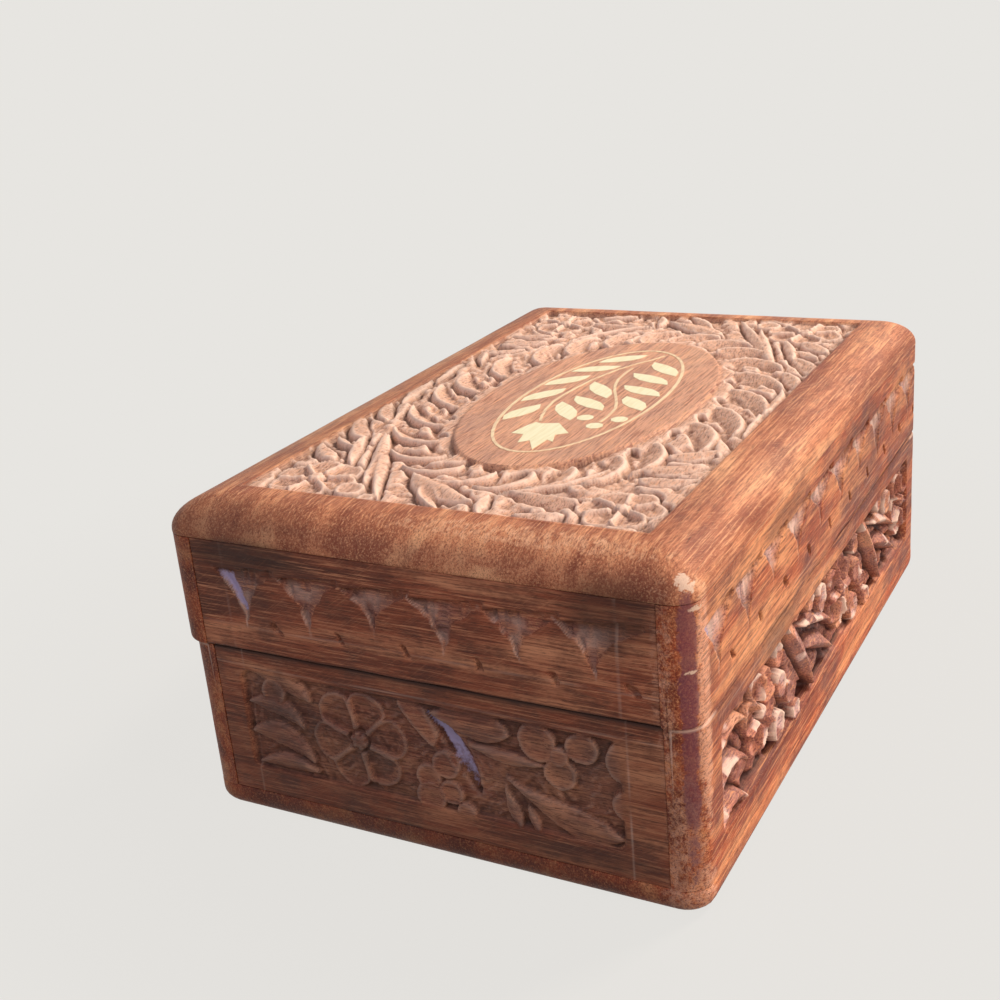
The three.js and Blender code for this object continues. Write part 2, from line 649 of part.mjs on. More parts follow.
// A countersunk screw with its head's face up at the origin, or with play the hole for it.
function screwBody(play) {
  const head = SCREW_HEAD_RADIUS + play;
  const shank = SCREW_RADIUS + play;
  const profile = [
    [0, -SCREW_LENGTH - play],
    [shank, -SCREW_LENGTH + SCREW_POINT - play],
    [shank, -SCREW_HEAD_DEPTH - play],
    [head, -play],
    [head, play],
    [0, play],
  ];
  const points = profile.map(([radius, height]) => new THREE.Vector2(radius, height));
  return solid(new THREE.LatheGeometry(points, SMALL_ROUND).rotateX(Math.PI / 2));
}

// The two screw places of a leaf, each with the turn that sends the screw into its wood.
function screwPlaces(side) {
  return [-1, 1].map((end) => ({
    place: [end * (HINGE_LENGTH / 2 - SCREW_FROM_END), -SCREW_FROM_PIN, (side * HINGE_LEAF_GAP) / 2],
    turn: side > 0 ? 180 : 0,
  }));
}

function screwHoles(side) {
  const hole = screwBody(SCREW_PLAY);
  return screwPlaces(side).map(({ place, turn }) => hole.rotate([turn, 0, 0]).translate(place));
}

function hingeLeaf(side) {
  let made = leafSlab(side, 0, 0);
  for (const { side: owner, low, high } of KNUCKLES) {
    const gap = KNUCKLE_GAP / 2;
    if (owner === side) {
      const lowEnd = low > -HINGE_LENGTH / 2 ? low + gap : low;
      const highEnd = high < HINGE_LENGTH / 2 ? high - gap : high;
      made = made.add(rod(KNUCKLE_RADIUS, lowEnd, highEnd, 0, 0, KNUCKLE_ROUND));
    } else {
      const room = rod(KNUCKLE_RADIUS + KNUCKLE_GAP, low - gap, high + gap, 0, 0, KNUCKLE_ROUND);
      made = made.subtract(room);
    }
  }
  const bore = rod(PIN_RADIUS + PIN_PLAY, -HINGE_LENGTH, HINGE_LENGTH, 0, 0, KNUCKLE_ROUND);
  return made.subtract(union([bore, ...screwHoles(side)]));
}

// What a back wall loses at its rim: the bevel that stops the lid, and a seat for each hinge.
function backRimCuts(side, inset, middle, length) {
  const out = inset + CUT;
  const drop = side * out * Math.tan(THREE.MathUtils.degToRad(STOP_BEVEL));
  const bevel = polygon([[0, 0], [out, drop], [out, -side * CUT], [0, -side * CUT]]);
  const half = HINGE_LENGTH / 2 + HINGE_PLAY;
  const barrel = rod(KNUCKLE_RADIUS + HINGE_PLAY, -half, half, 0, 0, KNUCKLE_ROUND);
  const seat = union([leafSlab(side, HINGE_PLAY, CUT), barrel, ...screwHoles(side)]);
  const seats = [-1, 1].map((end) => seat.translate([end * HINGE_FROM_MIDDLE - middle, 0, 0]));
  return union([barAlongX(bevel, -length, length), ...seats]);
}

// Cuts the hinge seats in a back wall, which lies face up until it is stood in its place.
function seatHinges(wall, side, inset, middle, length) {
  const cuts = backRimCuts(side, inset, middle, length);
  return wall.subtract(cuts.rotate([-90, 180, 0]).translate([0, PARTING, -inset]));
}

function screw() {
  const half = SLOT_WIDTH / 2;
  const slot = block(-SCREW_HEAD_RADIUS, SCREW_HEAD_RADIUS, -half, half, -SLOT_DEPTH, CUT);
  return screwBody(0).subtract(slot);
}

// Boards and linings

function bottomBoard() {
  const rings = [];
  for (let i = 0; i <= ROUND_STEPS; i++) {
    const angle = (i / ROUND_STEPS) * (Math.PI / 2);
    const inset = FOOT_ROUND * (1 - Math.sin(angle));
    const height = FOOT_ROUND * (1 - Math.cos(angle));
    rings.push(planRing(BASE_LENGTH - 2 * inset, BASE_WIDTH - 2 * inset, CORNER_RADIUS, height));
  }
  rings.push(planRing(BASE_LENGTH, BASE_WIDTH, CORNER_RADIUS, BOTTOM_THICKNESS));
  return loft(rings);
}

function lining(length, width, low) {
  const halfX = length / 2 - WALL - LINING_PLAY;
  const halfY = width / 2 - WALL - LINING_PLAY;
  return block(-halfX, halfX, -halfY, halfY, low, low + LINING);
}

// Assembly

// Stands a wall that lies face up on the side of the box that the angle looks to, from the front on.
function stand(mesh, degrees, distance) {
  mesh.rotation.x = Math.PI / 2;
  mesh.position.y = -distance;
  const turned = new THREE.Group();
  turned.rotation.z = THREE.MathUtils.degToRad(degrees);
  turned.add(mesh);
  return turned;
}

function base() {
  const made = new THREE.Group();
  const longBlank = longWallBlank(BASE_LENGTH, BASE_FLOOR, BASE_RIM);
  const endBlank = endWallBlank(BASE_WIDTH, BASE_FLOOR, BASE_RIM);
  const long = carvePanel(longBlank, LONG_PANEL_HALF, longVine(LONG_PANEL_HALF));
  const end = carvePanel(endBlank, END_PANEL_HALF, endSpray(END_PANEL_HALF));
  const back = seatHinges(long, -1, PIN_INSET, 0, BASE_LENGTH);
  made.add(stand(meshOf("base_front_wall", long, WOOD_SIDE), 0, BASE_WIDTH / 2));
  made.add(stand(meshOf("base_back_wall", back, WOOD_SIDE), 180, BASE_WIDTH / 2));
  made.add(stand(meshOf("base_left_wall", end, WOOD_END), -90, BASE_LENGTH / 2));
  made.add(stand(meshOf("base_right_wall", end, WOOD_END), 90, BASE_LENGTH / 2));
  made.add(meshOf("bottom_board", bottomBoard(), WOOD_SIDE));
  made.add(meshOf("base_lining", lining(BASE_LENGTH, BASE_WIDTH, BASE_FLOOR), VELVET));
  return made;
}

function lid() {
  const made = new THREE.Group();
  const long = carveScallops(longWallBlank(LID_LENGTH, LID_RIM, LID_WALL_TOP), LID_LENGTH / 2);
  const end = carveScallops(endWallBlank(LID_WIDTH, LID_RIM, LID_WALL_TOP), LID_WIDTH / 2);
  const back = seatHinges(long, 1, PIN_INSET + OVERHANG, LID_X, LID_LENGTH);
  made.add(stand(meshOf("lid_front_wall", long, WOOD_SIDE), 0, LID_WIDTH / 2));
  made.add(stand(meshOf("lid_back_wall", back, WOOD_SIDE), 180, LID_WIDTH / 2));
  made.add(stand(meshOf("lid_left_wall", end, WOOD_END), -90, LID_LENGTH / 2));
  made.add(stand(meshOf("lid_right_wall", end, WOOD_END), 90, LID_LENGTH / 2));
  made.add(meshOf("lid_top_board", topBoard(), WOOD_TOP));
  made.add(meshOf("lid_lining", lining(LID_LENGTH, LID_WIDTH, LID_WALL_TOP - LINING), VELVET));
  for (const { name, shape } of inlays()) made.add(meshOf(name, inlayBody(shape, 0, INLAY_PROUD), INLAY));
  made.position.set(LID_X, LID_Y, 0);
  return made;
}

function hinge(name, x) {
  const made = new THREE.Group();
  const pin = rod(PIN_RADIUS, -HINGE_LENGTH / 2, HINGE_LENGTH / 2, 0, 0, KNUCKLE_ROUND);
  made.add(meshOf(`${name}_pin`, pin, BRASS));
  for (const side of [-1, 1]) {
    const owner = side > 0 ? "lid" : "base";
    made.add(meshOf(`${name}_${owner}_leaf`, hingeLeaf(side), BRASS));
    screwPlaces(side).forEach(({ place, turn }, i) => {
      const fastener = meshOf(`${name}_${owner}_screw_${i + 1}`, screw(), BRASS);
      fastener.position.set(...place);
      fastener.rotation.x = THREE.MathUtils.degToRad(turn);
      made.add(fastener);
    });
  }
  made.position.set(x, PIN_Y, PARTING);
  return made;
}

const box = new THREE.Group();
box.add(base(), lid(), hinge("left_hinge", -HINGE_FROM_MIDDLE), hinge("right_hinge", HINGE_FROM_MIDDLE));

export default box;
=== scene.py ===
"""A carved wooden jewelry box with an inlaid lid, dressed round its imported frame.

The walls and the top board are height fields: each carved face is a grid of points, sunk by a depth
that is worked out from leaves, flowers and scallops as functions of the place on the face. Every
measure in the shape functions is in millimetres, and the mesh functions turn them to metres.
"""

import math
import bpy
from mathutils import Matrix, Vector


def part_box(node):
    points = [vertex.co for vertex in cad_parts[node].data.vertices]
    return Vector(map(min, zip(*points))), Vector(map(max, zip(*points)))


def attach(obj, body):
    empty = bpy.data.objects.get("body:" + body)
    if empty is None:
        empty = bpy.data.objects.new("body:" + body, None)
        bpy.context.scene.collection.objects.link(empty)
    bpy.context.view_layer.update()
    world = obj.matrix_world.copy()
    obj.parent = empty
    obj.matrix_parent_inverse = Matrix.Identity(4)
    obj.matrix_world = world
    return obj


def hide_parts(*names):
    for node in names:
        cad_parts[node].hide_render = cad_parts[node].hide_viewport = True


bl_info = {
    "name": "Carved jewelry box",
    "version": (1, 0, 0),
    "blender": (4, 5, 0),
    "location": "View3D > Sidebar > Jewelry box",
    "description": "Carved walls and lid, metal inlay, brass hinges and velvet linings of a small box",
    "category": "Add Mesh",
}

import bpy
import numpy as np
from bpy.props import FloatProperty, FloatVectorProperty, PointerProperty
from bpy.types import Operator, Panel, PropertyGroup
from mathutils import Matrix, Vector

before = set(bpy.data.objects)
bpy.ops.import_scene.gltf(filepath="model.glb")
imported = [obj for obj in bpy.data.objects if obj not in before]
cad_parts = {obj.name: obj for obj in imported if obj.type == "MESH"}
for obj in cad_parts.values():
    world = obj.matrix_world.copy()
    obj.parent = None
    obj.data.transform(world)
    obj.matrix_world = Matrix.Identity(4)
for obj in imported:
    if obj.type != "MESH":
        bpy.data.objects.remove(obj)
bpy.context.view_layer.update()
MM = 0.001
TINY = 1e-6


def box_of(node):
    """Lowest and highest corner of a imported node, in millimetres."""
    low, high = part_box(node)
    return np.array(low) / MM, np.array(high) / MM


# Sizes that come with the frame

TOP_LOW, TOP_HIGH = box_of("lid_top_board")
LID_CENTRE = (TOP_LOW + TOP_HIGH)[:2] / 2
LID_HALF = (TOP_HIGH - TOP_LOW)[:2] / 2
RING_LOW, RING_HIGH = box_of("inlay_ring")
OVAL_CENTRE = (RING_LOW + RING_HIGH)[:2] / 2 - LID_CENTRE
BASE_RIM = box_of("base_front_wall")[1][2]
PIN_LOW, PIN_HIGH = box_of("left_hinge_pin")
PIN_PLACE = (PIN_LOW + PIN_HIGH) / 2
BARREL_HALF = (PIN_HIGH - PIN_LOW)[0] / 2
LEAF_LOW = box_of("left_hinge_base_leaf")[0]

# Sizes of the joinery

CORNER_RADIUS = 4.5
TOP_ROUND_ACROSS = 10.0
TOP_ROUND_DOWN = 6.0
FOOT_ROUND = 2.8
BORDER = 11.0  # from the lid's edge in to the carved field
GLUE = 0.05
EDGE = 0.45  # rounding of the boards' edges
JOINT_EDGE = 0.18  # rounding beside a glued joint
VELVET_EDGE = 0.5
STOP_SLOPE = math.tan(math.radians(50.0))  # of the bevels that stop the lid
STOP_GAP = 0.03  # from a rounded edge to the bevel's plane
HINGE_PLAY = 0.25
KNUCKLE_RADIUS = 1.7
SEAT_DEPTH = 0.85
FACE_SWAY = 0.08  # the most that a plain face wanders from flat
TOP_SWAY = 0.02
ROUND_SWAY = 0.03  # the same on the top board's rounded edge
TOP_FOOT = 0.15  # chamfer under that edge

# Sizes of the carving

CUT_RUN = 0.55  # how far a cut's steep side runs out
PETALS = 6
OVAL_HALF = (42.0, 23.3)
BAND_LEAVES = 24
BAND_END = 8.5
BAND_SIDE = 12.5
BAND_SWEEP = 0.27  # radians
PANEL_LOW = 10.0
PANEL_HIGH = 31.3
VINE_PITCH = 52.0
GOUGE_ENDS = ((0.2, 19.4), (9.4, 4.6))  # the deep gouge in an end's spray, above the panel's foot
GOUGE_WIDTH = 4.0
SCALLOP_PITCH = 14.9
LONG_GUIDES = (33.4, 38.8)  # heights of the scribed lines
END_GUIDES = (32.0, 40.8)
END_UPRIGHTS = 38.0  # from an end wall's middle
CLAW_HEAD = 51.6
CLAW_DROP = 10.5
CLAW_WIDTH = 13.6
CHIP_HEIGHT = 41.2

# Facets

CELL = 0.28  # grid step of a carved wall
TOP_CELL = 0.385  # grid step of the carved field on the lid
ARC_STEPS = 16


# Numbers and fields


def smooth(low, high, x):
    """Ramp from 0 at low to 1 at high, 3t^2 - 2t^3 in between."""
    t = np.clip((x - low) / (high - low), 0.0, 1.0)
    return t * t * (3.0 - 2.0 * t)


def noise(u, v, size, seed):
    """Values from -1 to 1 that wander over about size: random numbers on a square lattice, blended
    smoothly between its corners."""
    lattice = np.random.default_rng(seed).uniform(-1.0, 1.0, (64, 64))
    x, y = u / size + 17.3, v / size + 9.1
    i, j = np.floor(x).astype(int), np.floor(y).astype(int)
    s, t = smooth(0.0, 1.0, x - i), smooth(0.0, 1.0, y - j)
    near = lattice[j % 64, i % 64] * (1 - s) + lattice[j % 64, (i + 1) % 64] * s
    far = lattice[(j + 1) % 64, i % 64] * (1 - s) + lattice[(j + 1) % 64, (i + 1) % 64] * s
    return near * (1 - t) + far * t


def blurred(field, reach):
    """The field averaged over about reach grid steps: its spectrum times a Gaussian, with the field
    mirrored past its edges so that nothing wraps round."""
    edge = int(3 * reach) + 1
    wide = np.pad(field, edge, mode="reflect")
    down = np.fft.fftfreq(wide.shape[0])[:, None]
    across = np.fft.rfftfreq(wide.shape[1])[None, :]
    kept = np.exp(-2.0 * (np.pi * reach) ** 2 * (down**2 + across**2))
    soft = np.fft.irfft2(np.fft.rfft2(wide) * kept, wide.shape)
    return soft[edge:-edge, edge:-edge]


def wander(u, v, seed):
    """Places moved by up to about 0.3 mm, so that outlines look cut by hand."""
    return (
        u + 0.22 * noise(u, v, 5.0, seed) + 0.1 * noise(u, v, 1.7, seed + 1),
        v + 0.22 * noise(u, v, 5.0, seed + 2) + 0.1 * noise(u, v, 1.7, seed + 3),
    )


# Carved forms: each gives a height from 0, on the ground, to 1, level with the face


def bank(distance, run=CUT_RUN):
    """Steep side of a form: 0 at its outline and 1 from a run inside it."""
    return smooth(0.0, run, distance)


def along_arc(u, v, start, end, bow):
    """Each point's share of the way along a circular arc, and its distance to the left of it. The arc
    runs from start to end, and its middle stands a bow to the left of the straight line."""
    chord = np.subtract(end, start)
    length = np.hypot(*chord)
    ahead = chord / length
    left = np.array([-ahead[1], ahead[0]])
    bow = bow if abs(bow) > 0.01 * length else 0.01 * length
    radius = (length**2 / 4 + bow**2) / (2 * bow)
    centre = np.add(start, end) / 2 + left * (bow - radius)
    x, y = u - centre[0], v - centre[1]
    side = np.sign(radius)
    outward = side * (x * left[0] + y * left[1])
    onward = x * ahead[0] + y * ahead[1]
    reach = math.atan2(length / 2, abs(radius) - abs(bow))
    share = (np.arctan2(onward, outward) / reach + 1) / 2
    return share, side * (np.hypot(x, y) - abs(radius))


def along_leaf(u, v, start, end, width, bow, belly):
    """Each point's distance to the left of a leaf's arc, and the leaf's half width there: the sine
    of the way along, raised to 0.7. A belly below 1 moves the widest place towards the start."""
    share, aside = along_arc(u, v, start, end, bow)
    way = np.clip(share, 0.0, 1.0) ** belly
    return aside, width / 2 * np.clip(np.sin(np.pi * way), 0.0, 1.0) ** 0.7


def leaf(u, v, start, end, width, bow, belly, crest, low):
    """A leaf along an arc. Its face falls by the power 1.25 from a crest, which lies at that share
    of the half width to the left, to the low height at both edges."""
    aside, half = along_leaf(u, v, start, end, width, bow, belly)
    q = np.clip(aside / np.maximum(half, TINY), -1.0, 1.0)
    fall = np.abs(q - crest) / (1.0 - crest * np.sign(q - crest))
    return bank(half - np.abs(aside)) * (1.0 - (1.0 - low) * fall**1.25)


def gouge(u, v, start, end, width, bow, belly=1.0):
    """Depth from 0 to 1 of a hollow cut along an arc, rounded in section and pointed at its ends."""
    aside, half = along_leaf(u, v, start, end, width, bow, belly)
    q = np.abs(aside) / np.maximum(half, TINY)
    return np.sqrt(np.clip(1.0 - q**2, 0.0, 1.0)) * (half > TINY)


def lobe(u, v, centre, radius, dish=0.25):
    """A round lobe with a steep side, dished in the middle by that share of its height."""
    away = np.hypot(u - centre[0], v - centre[1])
    hollow = dish * np.cos(np.clip(away / radius, 0.0, 1.0) * np.pi / 2)
    return bank(radius - away) * (1.0 - hollow)


def flower(u, v, centre, radius, turn=0.0, petals=PETALS):
    """A flower of dished petals. Its outline is the radius times a cosine lobe for each petal, each
    petal is hollowed between thin sharp ridges that run out from the boss, and a ring parts off the
    boss."""
    x, y = u - centre[0], v - centre[1]
    away = np.hypot(x, y)
    lap = petals * (np.arctan2(y, x) - turn) / 2
    outline = radius * (0.76 + 0.24 * np.abs(np.cos(lap)) ** 0.6)
    share = np.clip(away / outline, 0.0, 1.0)
    parting = away * np.abs(np.arcsin(np.clip(np.cos(lap), -1, 1))) * 2 / petals
    dish = 0.55 * np.sin(np.pi * share**1.1) ** 0.6 * smooth(0.0, 0.11 * radius, parting)
    petal = bank(outline - away) * (0.97 - dish)
    boss_radius = 0.17 * radius
    ring = 0.6 * (1.0 - smooth(0.0, 0.45, np.abs(away - boss_radius - 0.4)))
    boss = bank(boss_radius - away, 0.8)
    return np.maximum(np.clip(petal - ring, 0.0, 1.0), boss)


def oval_distance(u, v, half_u, half_v):
    """Distance out from an ellipse round the origin, by its level value over its slope."""
    level = np.sqrt((u / half_u) ** 2 + (v / half_v) ** 2)
    slope = np.sqrt((u / half_u**2) ** 2 + (v / half_v**2) ** 2)
    return (level - 1.0) * level / np.maximum(slope, TINY)


def frame_distance(u, v, low, high, radius):
    """Distance in from the edge of a rectangle with rounded corners, negative outside it."""
    middle = np.add(low, high) / 2
    half = np.subtract(high, low) / 2
    x, y = np.abs(u - middle[0]) - half[0] + radius, np.abs(v - middle[1]) - half[1] + radius
    outside = np.hypot(np.maximum(x, 0.0), np.maximum(y, 0.0))
    return radius - outside - np.minimum(np.maximum(x, y), 0.0)


def tool_marks(u, v, seed):
    """Roughness of a cut face, from -1 to 1: short strokes of a small gouge, 3 mm long and under a
    millimetre wide, that lean one way or the other by patches, and a finer crumble."""
    lean = smooth(-0.3, 0.3, noise(u, v, 5.0, seed))
    one = noise(0.3 * (0.8 * u + 0.6 * v), 0.8 * v - 0.6 * u, 0.75, seed + 1)
    other = noise(0.3 * (0.5 * u - 0.87 * v), 0.5 * v + 0.87 * u, 0.75, seed + 2)
    return 0.75 * (lean * one + (1.0 - lean) * other) + 0.35 * noise(u, v, 0.55, seed + 3)


def rough_clumps(u, v, seed):
    """Heights from 0 to 1 of the uneven lumps that a hasty chisel leaves between the forms, 2 to 5 mm
    long and slanted: a stretched noise, cut off below so that narrow cuts stay between them."""
    slanted = noise(0.4 * (0.87 * u + 0.5 * v), 0.87 * v - 0.5 * u, 2.4, seed)
    finer = noise(0.6 * (0.6 * u - 0.8 * v), 0.6 * v + 0.8 * u, 1.3, seed + 1)
    return smooth(-0.45, 0.35, slanted + 0.5 * finer)


def fill_between(height, u, v, step, low, high, seed):
    """The forms with lumps between them, from a low to a high level. A shallow cut is left round each
    form: the lumps are held back where the blurred outline of the forms still shows."""
    near = blurred((height > 0.05).astype(float), 0.6 / step)
    lumps = low + (high - low) * rough_clumps(u, v, seed)
    return np.maximum(height, lumps * (1.0 - 0.6 * smooth(0.1, 0.45, near)))


def standing(*forms):
    """The highest of several forms at each point."""
    return np.maximum.reduce(forms)


# The carved field on the lid. Places are shares of its half length and half width

SPRAYS = [
    # start, end, width in mm, bow in mm, belly, crest, low
    ((-1.0, 0.27), (-0.46, 0.74), 3.6, 0.7, 1.0, 0.3, 0.5),
    ((-0.9, 0.46), (-0.46, 0.765), 3.8, -0.8, 1.0, 0.2, 0.6),
    ((-0.76, 0.66), (-0.5, 0.84), 3.4, 0.8, 1.0, 0.3, 0.6),
    ((-1.0, -0.05), (-0.85, 0.19), 3.2, 0.9, 1.0, 0.6, 0.5),
    ((-0.93, -0.16), (-0.77, 0.31), 6.4, 1.2, 1.2, -0.2, 0.6),
    ((-1.0, -0.23), (-0.86, -0.17), 3.4, 0.8, 1.0, 0.3, 0.6),
    ((-0.85, -0.58), (-0.83, -0.23), 6.8, 0.5, 0.7, -0.25, 0.15),
    ((-0.98, -0.36), (-0.93, -0.58), 4.2, -0.8, 1.0, 0.3, 0.6),
    ((-0.86, -0.12), (-0.54, -0.58), 2.2, -4.0, 1.0, 0.0, 0.7),
    ((-0.73, 0.78), (-0.61, 0.98), 4.8, 1.0, 0.8, 0.3, 0.6),
    ((-0.62, 0.77), (-0.54, 0.97), 3.0, 0.8, 1.0, 0.3, 0.6),
    ((-0.53, 0.83), (-0.36, 0.98), 5.4, 1.6, 0.7, 0.4, 0.5),
    ((-0.37, 0.85), (-0.2, 0.985), 4.4, 1.3, 0.8, 0.4, 0.5),
    ((-0.21, 0.93), (0.06, 0.97), 3.0, 0.6, 0.9, 0.2, 0.6),
    ((-0.66, -0.72), (-0.62, -0.97), 5.0, -0.9, 0.8, 0.3, 0.6),
    ((-0.58, -0.68), (-0.5, -0.96), 5.4, -1.0, 0.8, 0.3, 0.6),
    ((-0.47, -0.73), (-0.38, -0.97), 4.6, -0.9, 0.8, 0.3, 0.6),
    ((-0.44, -0.96), (-0.29, -0.88), 3.4, -0.6, 1.0, 0.3, 0.6),
    ((-0.28, -0.975), (-0.02, -0.945), 2.6, -0.4, 1.0, 0.2, 0.6),
]
SPRAY_LOBES = [((-0.93, 0.49), 3.2), ((-0.97, 0.36), 2.0)]
FLOWERS = [((-0.87, 0.735), 9.2, 0.3), ((-0.85, -0.775), 8.2, 0.62)]


def on_oval(angle, out_x, out_y):
    """The point at an angle on an oval that lies so many millimetres outside the plain one."""
    x = OVAL_CENTRE[0] + (OVAL_HALF[0] + out_x) * math.cos(angle)
    return x, OVAL_CENTRE[1] + (OVAL_HALF[1] + out_y) * math.sin(angle)


def band_leaves(x, y):
    """Claw-shaped leaves that sweep outwards round the oval, over a low collar. Leaf i starts beside the
    oval at its share of a full turn, blunt, and ends pointed at the band's outer edge, a sweep further
    back. Its crest runs along its outer side. A notch is cut beside each blunt end."""
    forms, notches = [], []
    rng = np.random.default_rng(5)
    for i in range(BAND_LEAVES):
        angle = 2 * np.pi * i / BAND_LEAVES + rng.uniform(-0.025, 0.025)
        outer = angle - BAND_SWEEP * rng.uniform(0.95, 1.2)
        start = on_oval(angle, 1.6, 2.6)
        end = on_oval(outer, BAND_END + 1.0, BAND_SIDE + 1.0)
        width = rng.uniform(5.6, 6.6)
        forms.append(leaf(x, y, start, end, width, 2.6, 0.62, 0.5, 0.05))
        inner, tip = on_oval(angle - 0.09, 1.0, 1.2), on_oval(angle - 0.17, 3.4, 4.0)
        notches.append(gouge(x, y, inner, tip, 2.6, 0.3))
    side = np.abs(y - OVAL_CENTRE[1]) / OVAL_HALF[1]
    out = oval_distance(x - OVAL_CENTRE[0], y - OVAL_CENTRE[1], *OVAL_HALF)
    collar = 0.75 * (1.0 - smooth(2.0, 4.6, out)) * smooth(0.45, 0.8, side)
    collar = collar * (1.0 - np.maximum.reduce(notches))
    return standing(collar, *forms)


def carve_top(x, y, depth):
    """Depth of the carving below the lid's top, and its marks."""
    half = LID_HALF - BORDER
    inside = frame_distance(x, y, -half, half, 0.8)
    u, v = wander(x, y, 11)
    forms = [band_leaves(u, v)]
    for turned in (1.0, -1.0):
        a, b = turned * u, turned * v
        for start, end, width, bow, belly, crest, low in SPRAYS:
            ends = np.multiply(start, half), np.multiply(end, half)
            forms.append(leaf(a, b, *ends, width, bow, belly, crest, low))
        for place, radius in SPRAY_LOBES:
            forms.append(lobe(a, b, np.multiply(place, half), radius))
        for place, radius, turn in FLOWERS:
            forms.append(flower(a, b, np.multiply(place, half), radius, turn))
    height = fill_between(standing(*forms), u, v, TOP_CELL, 0.42, 0.85, 23)
    out = oval_distance(x - OVAL_CENTRE[0], y - OVAL_CENTRE[1], *OVAL_HALF)
    height = np.maximum(height, bank(-out, 0.4))
    ground = 1.0 - smooth(0.4, 0.6, height)
    height = height + (0.09 + 0.08 * ground) * tool_marks(x, y, 21) * (out > 0.2)
    sunk = bank(inside, 0.5)
    carved = sunk * (0.55 + 0.45 * smooth(0.0, 0.4, out))
    return depth * sunk * np.clip(1.0 - height, 0.0, 1.1), {"carved": carved}


# The carved faces of the walls. u runs to the right seen from outside, and v is the height


def carve_long_panel(u, v, half, depth):
    """The vine in a long base wall: three fan leaves, and then a flower, swept leaves and lobes that
    repeat along it. Its frame slopes in at the left margin, and that slope gets a painted highlight in
    the pale of cut wood; pale patches lie on the raised forms."""
    inside = frame_distance(u, v, (-half + 9.5, PANEL_LOW), (half - 9.5, PANEL_HIGH), 2.5)
    x, y = wander(u, v, 31)
    middle, rise = (PANEL_LOW + PANEL_HIGH) / 2, (PANEL_HIGH - PANEL_LOW) / 2
    forms = []
    for level in (-0.8, -0.1, 0.6):
        start = (-half + 9.0, middle + (level - 0.1) * rise)
        end = (-half + 23.5, middle + (level - 0.25) * rise)
        forms.append(leaf(x, y, start, end, 4.6, 2.6, 0.8, 0.2, 0.2))
    for begin in np.arange(-half + 22.0, half, VINE_PITCH):
        def at(share, level):
            return (begin + share * VINE_PITCH, middle + level * rise)

        forms += [
            flower(x, y, at(0.19, 0.1), 0.8 * rise, begin),
            lobe(x, y, at(0.37, 0.72), 2.7),
            lobe(x, y, at(0.4, 0.1), 3.0),
            lobe(x, y, at(0.36, -0.62), 3.3),
            lobe(x, y, at(0.49, -0.3), 2.6),
            leaf(x, y, at(0.47, 0.98), at(0.79, -0.95), 6.6, 2.4, 0.9, -0.3, 0.2),
            leaf(x, y, at(0.66, 0.55), at(1.04, -0.2), 4.0, 1.6, 1.0, -0.2, 0.2),
            leaf(x, y, at(0.7, 0.05), at(1.06, -0.8), 4.4, 1.4, 1.0, -0.2, 0.2),
            lobe(x, y, at(0.76, 0.82), 2.4),
            lobe(x, y, at(0.9, 0.6), 3.2),
            lobe(x, y, at(0.57, -0.85), 2.6),
        ]
    height = fill_between(standing(*forms), u, v, CELL, 0.0, 0.4, 43)
    height = height + 0.07 * tool_marks(u, v, 41)
    sunk = bank(inside, 1.1)
    # Painted highlight: the slope of the frame's left margin is painted pale, as it catches the light.
    highlit_margin = 1.0 - smooth(0.0, 2.0, u + half - 9.5)
    pale_patches = smooth(0.1, 0.4, noise(u, v, 3.0, 45)) * smooth(0.45, 0.7, height)
    carved = sunk * (0.25 + 0.75 * np.maximum(highlit_margin, pale_patches))
    return depth * sunk * np.clip(1.0 - height, 0.0, 1.1), {"carved": carved}


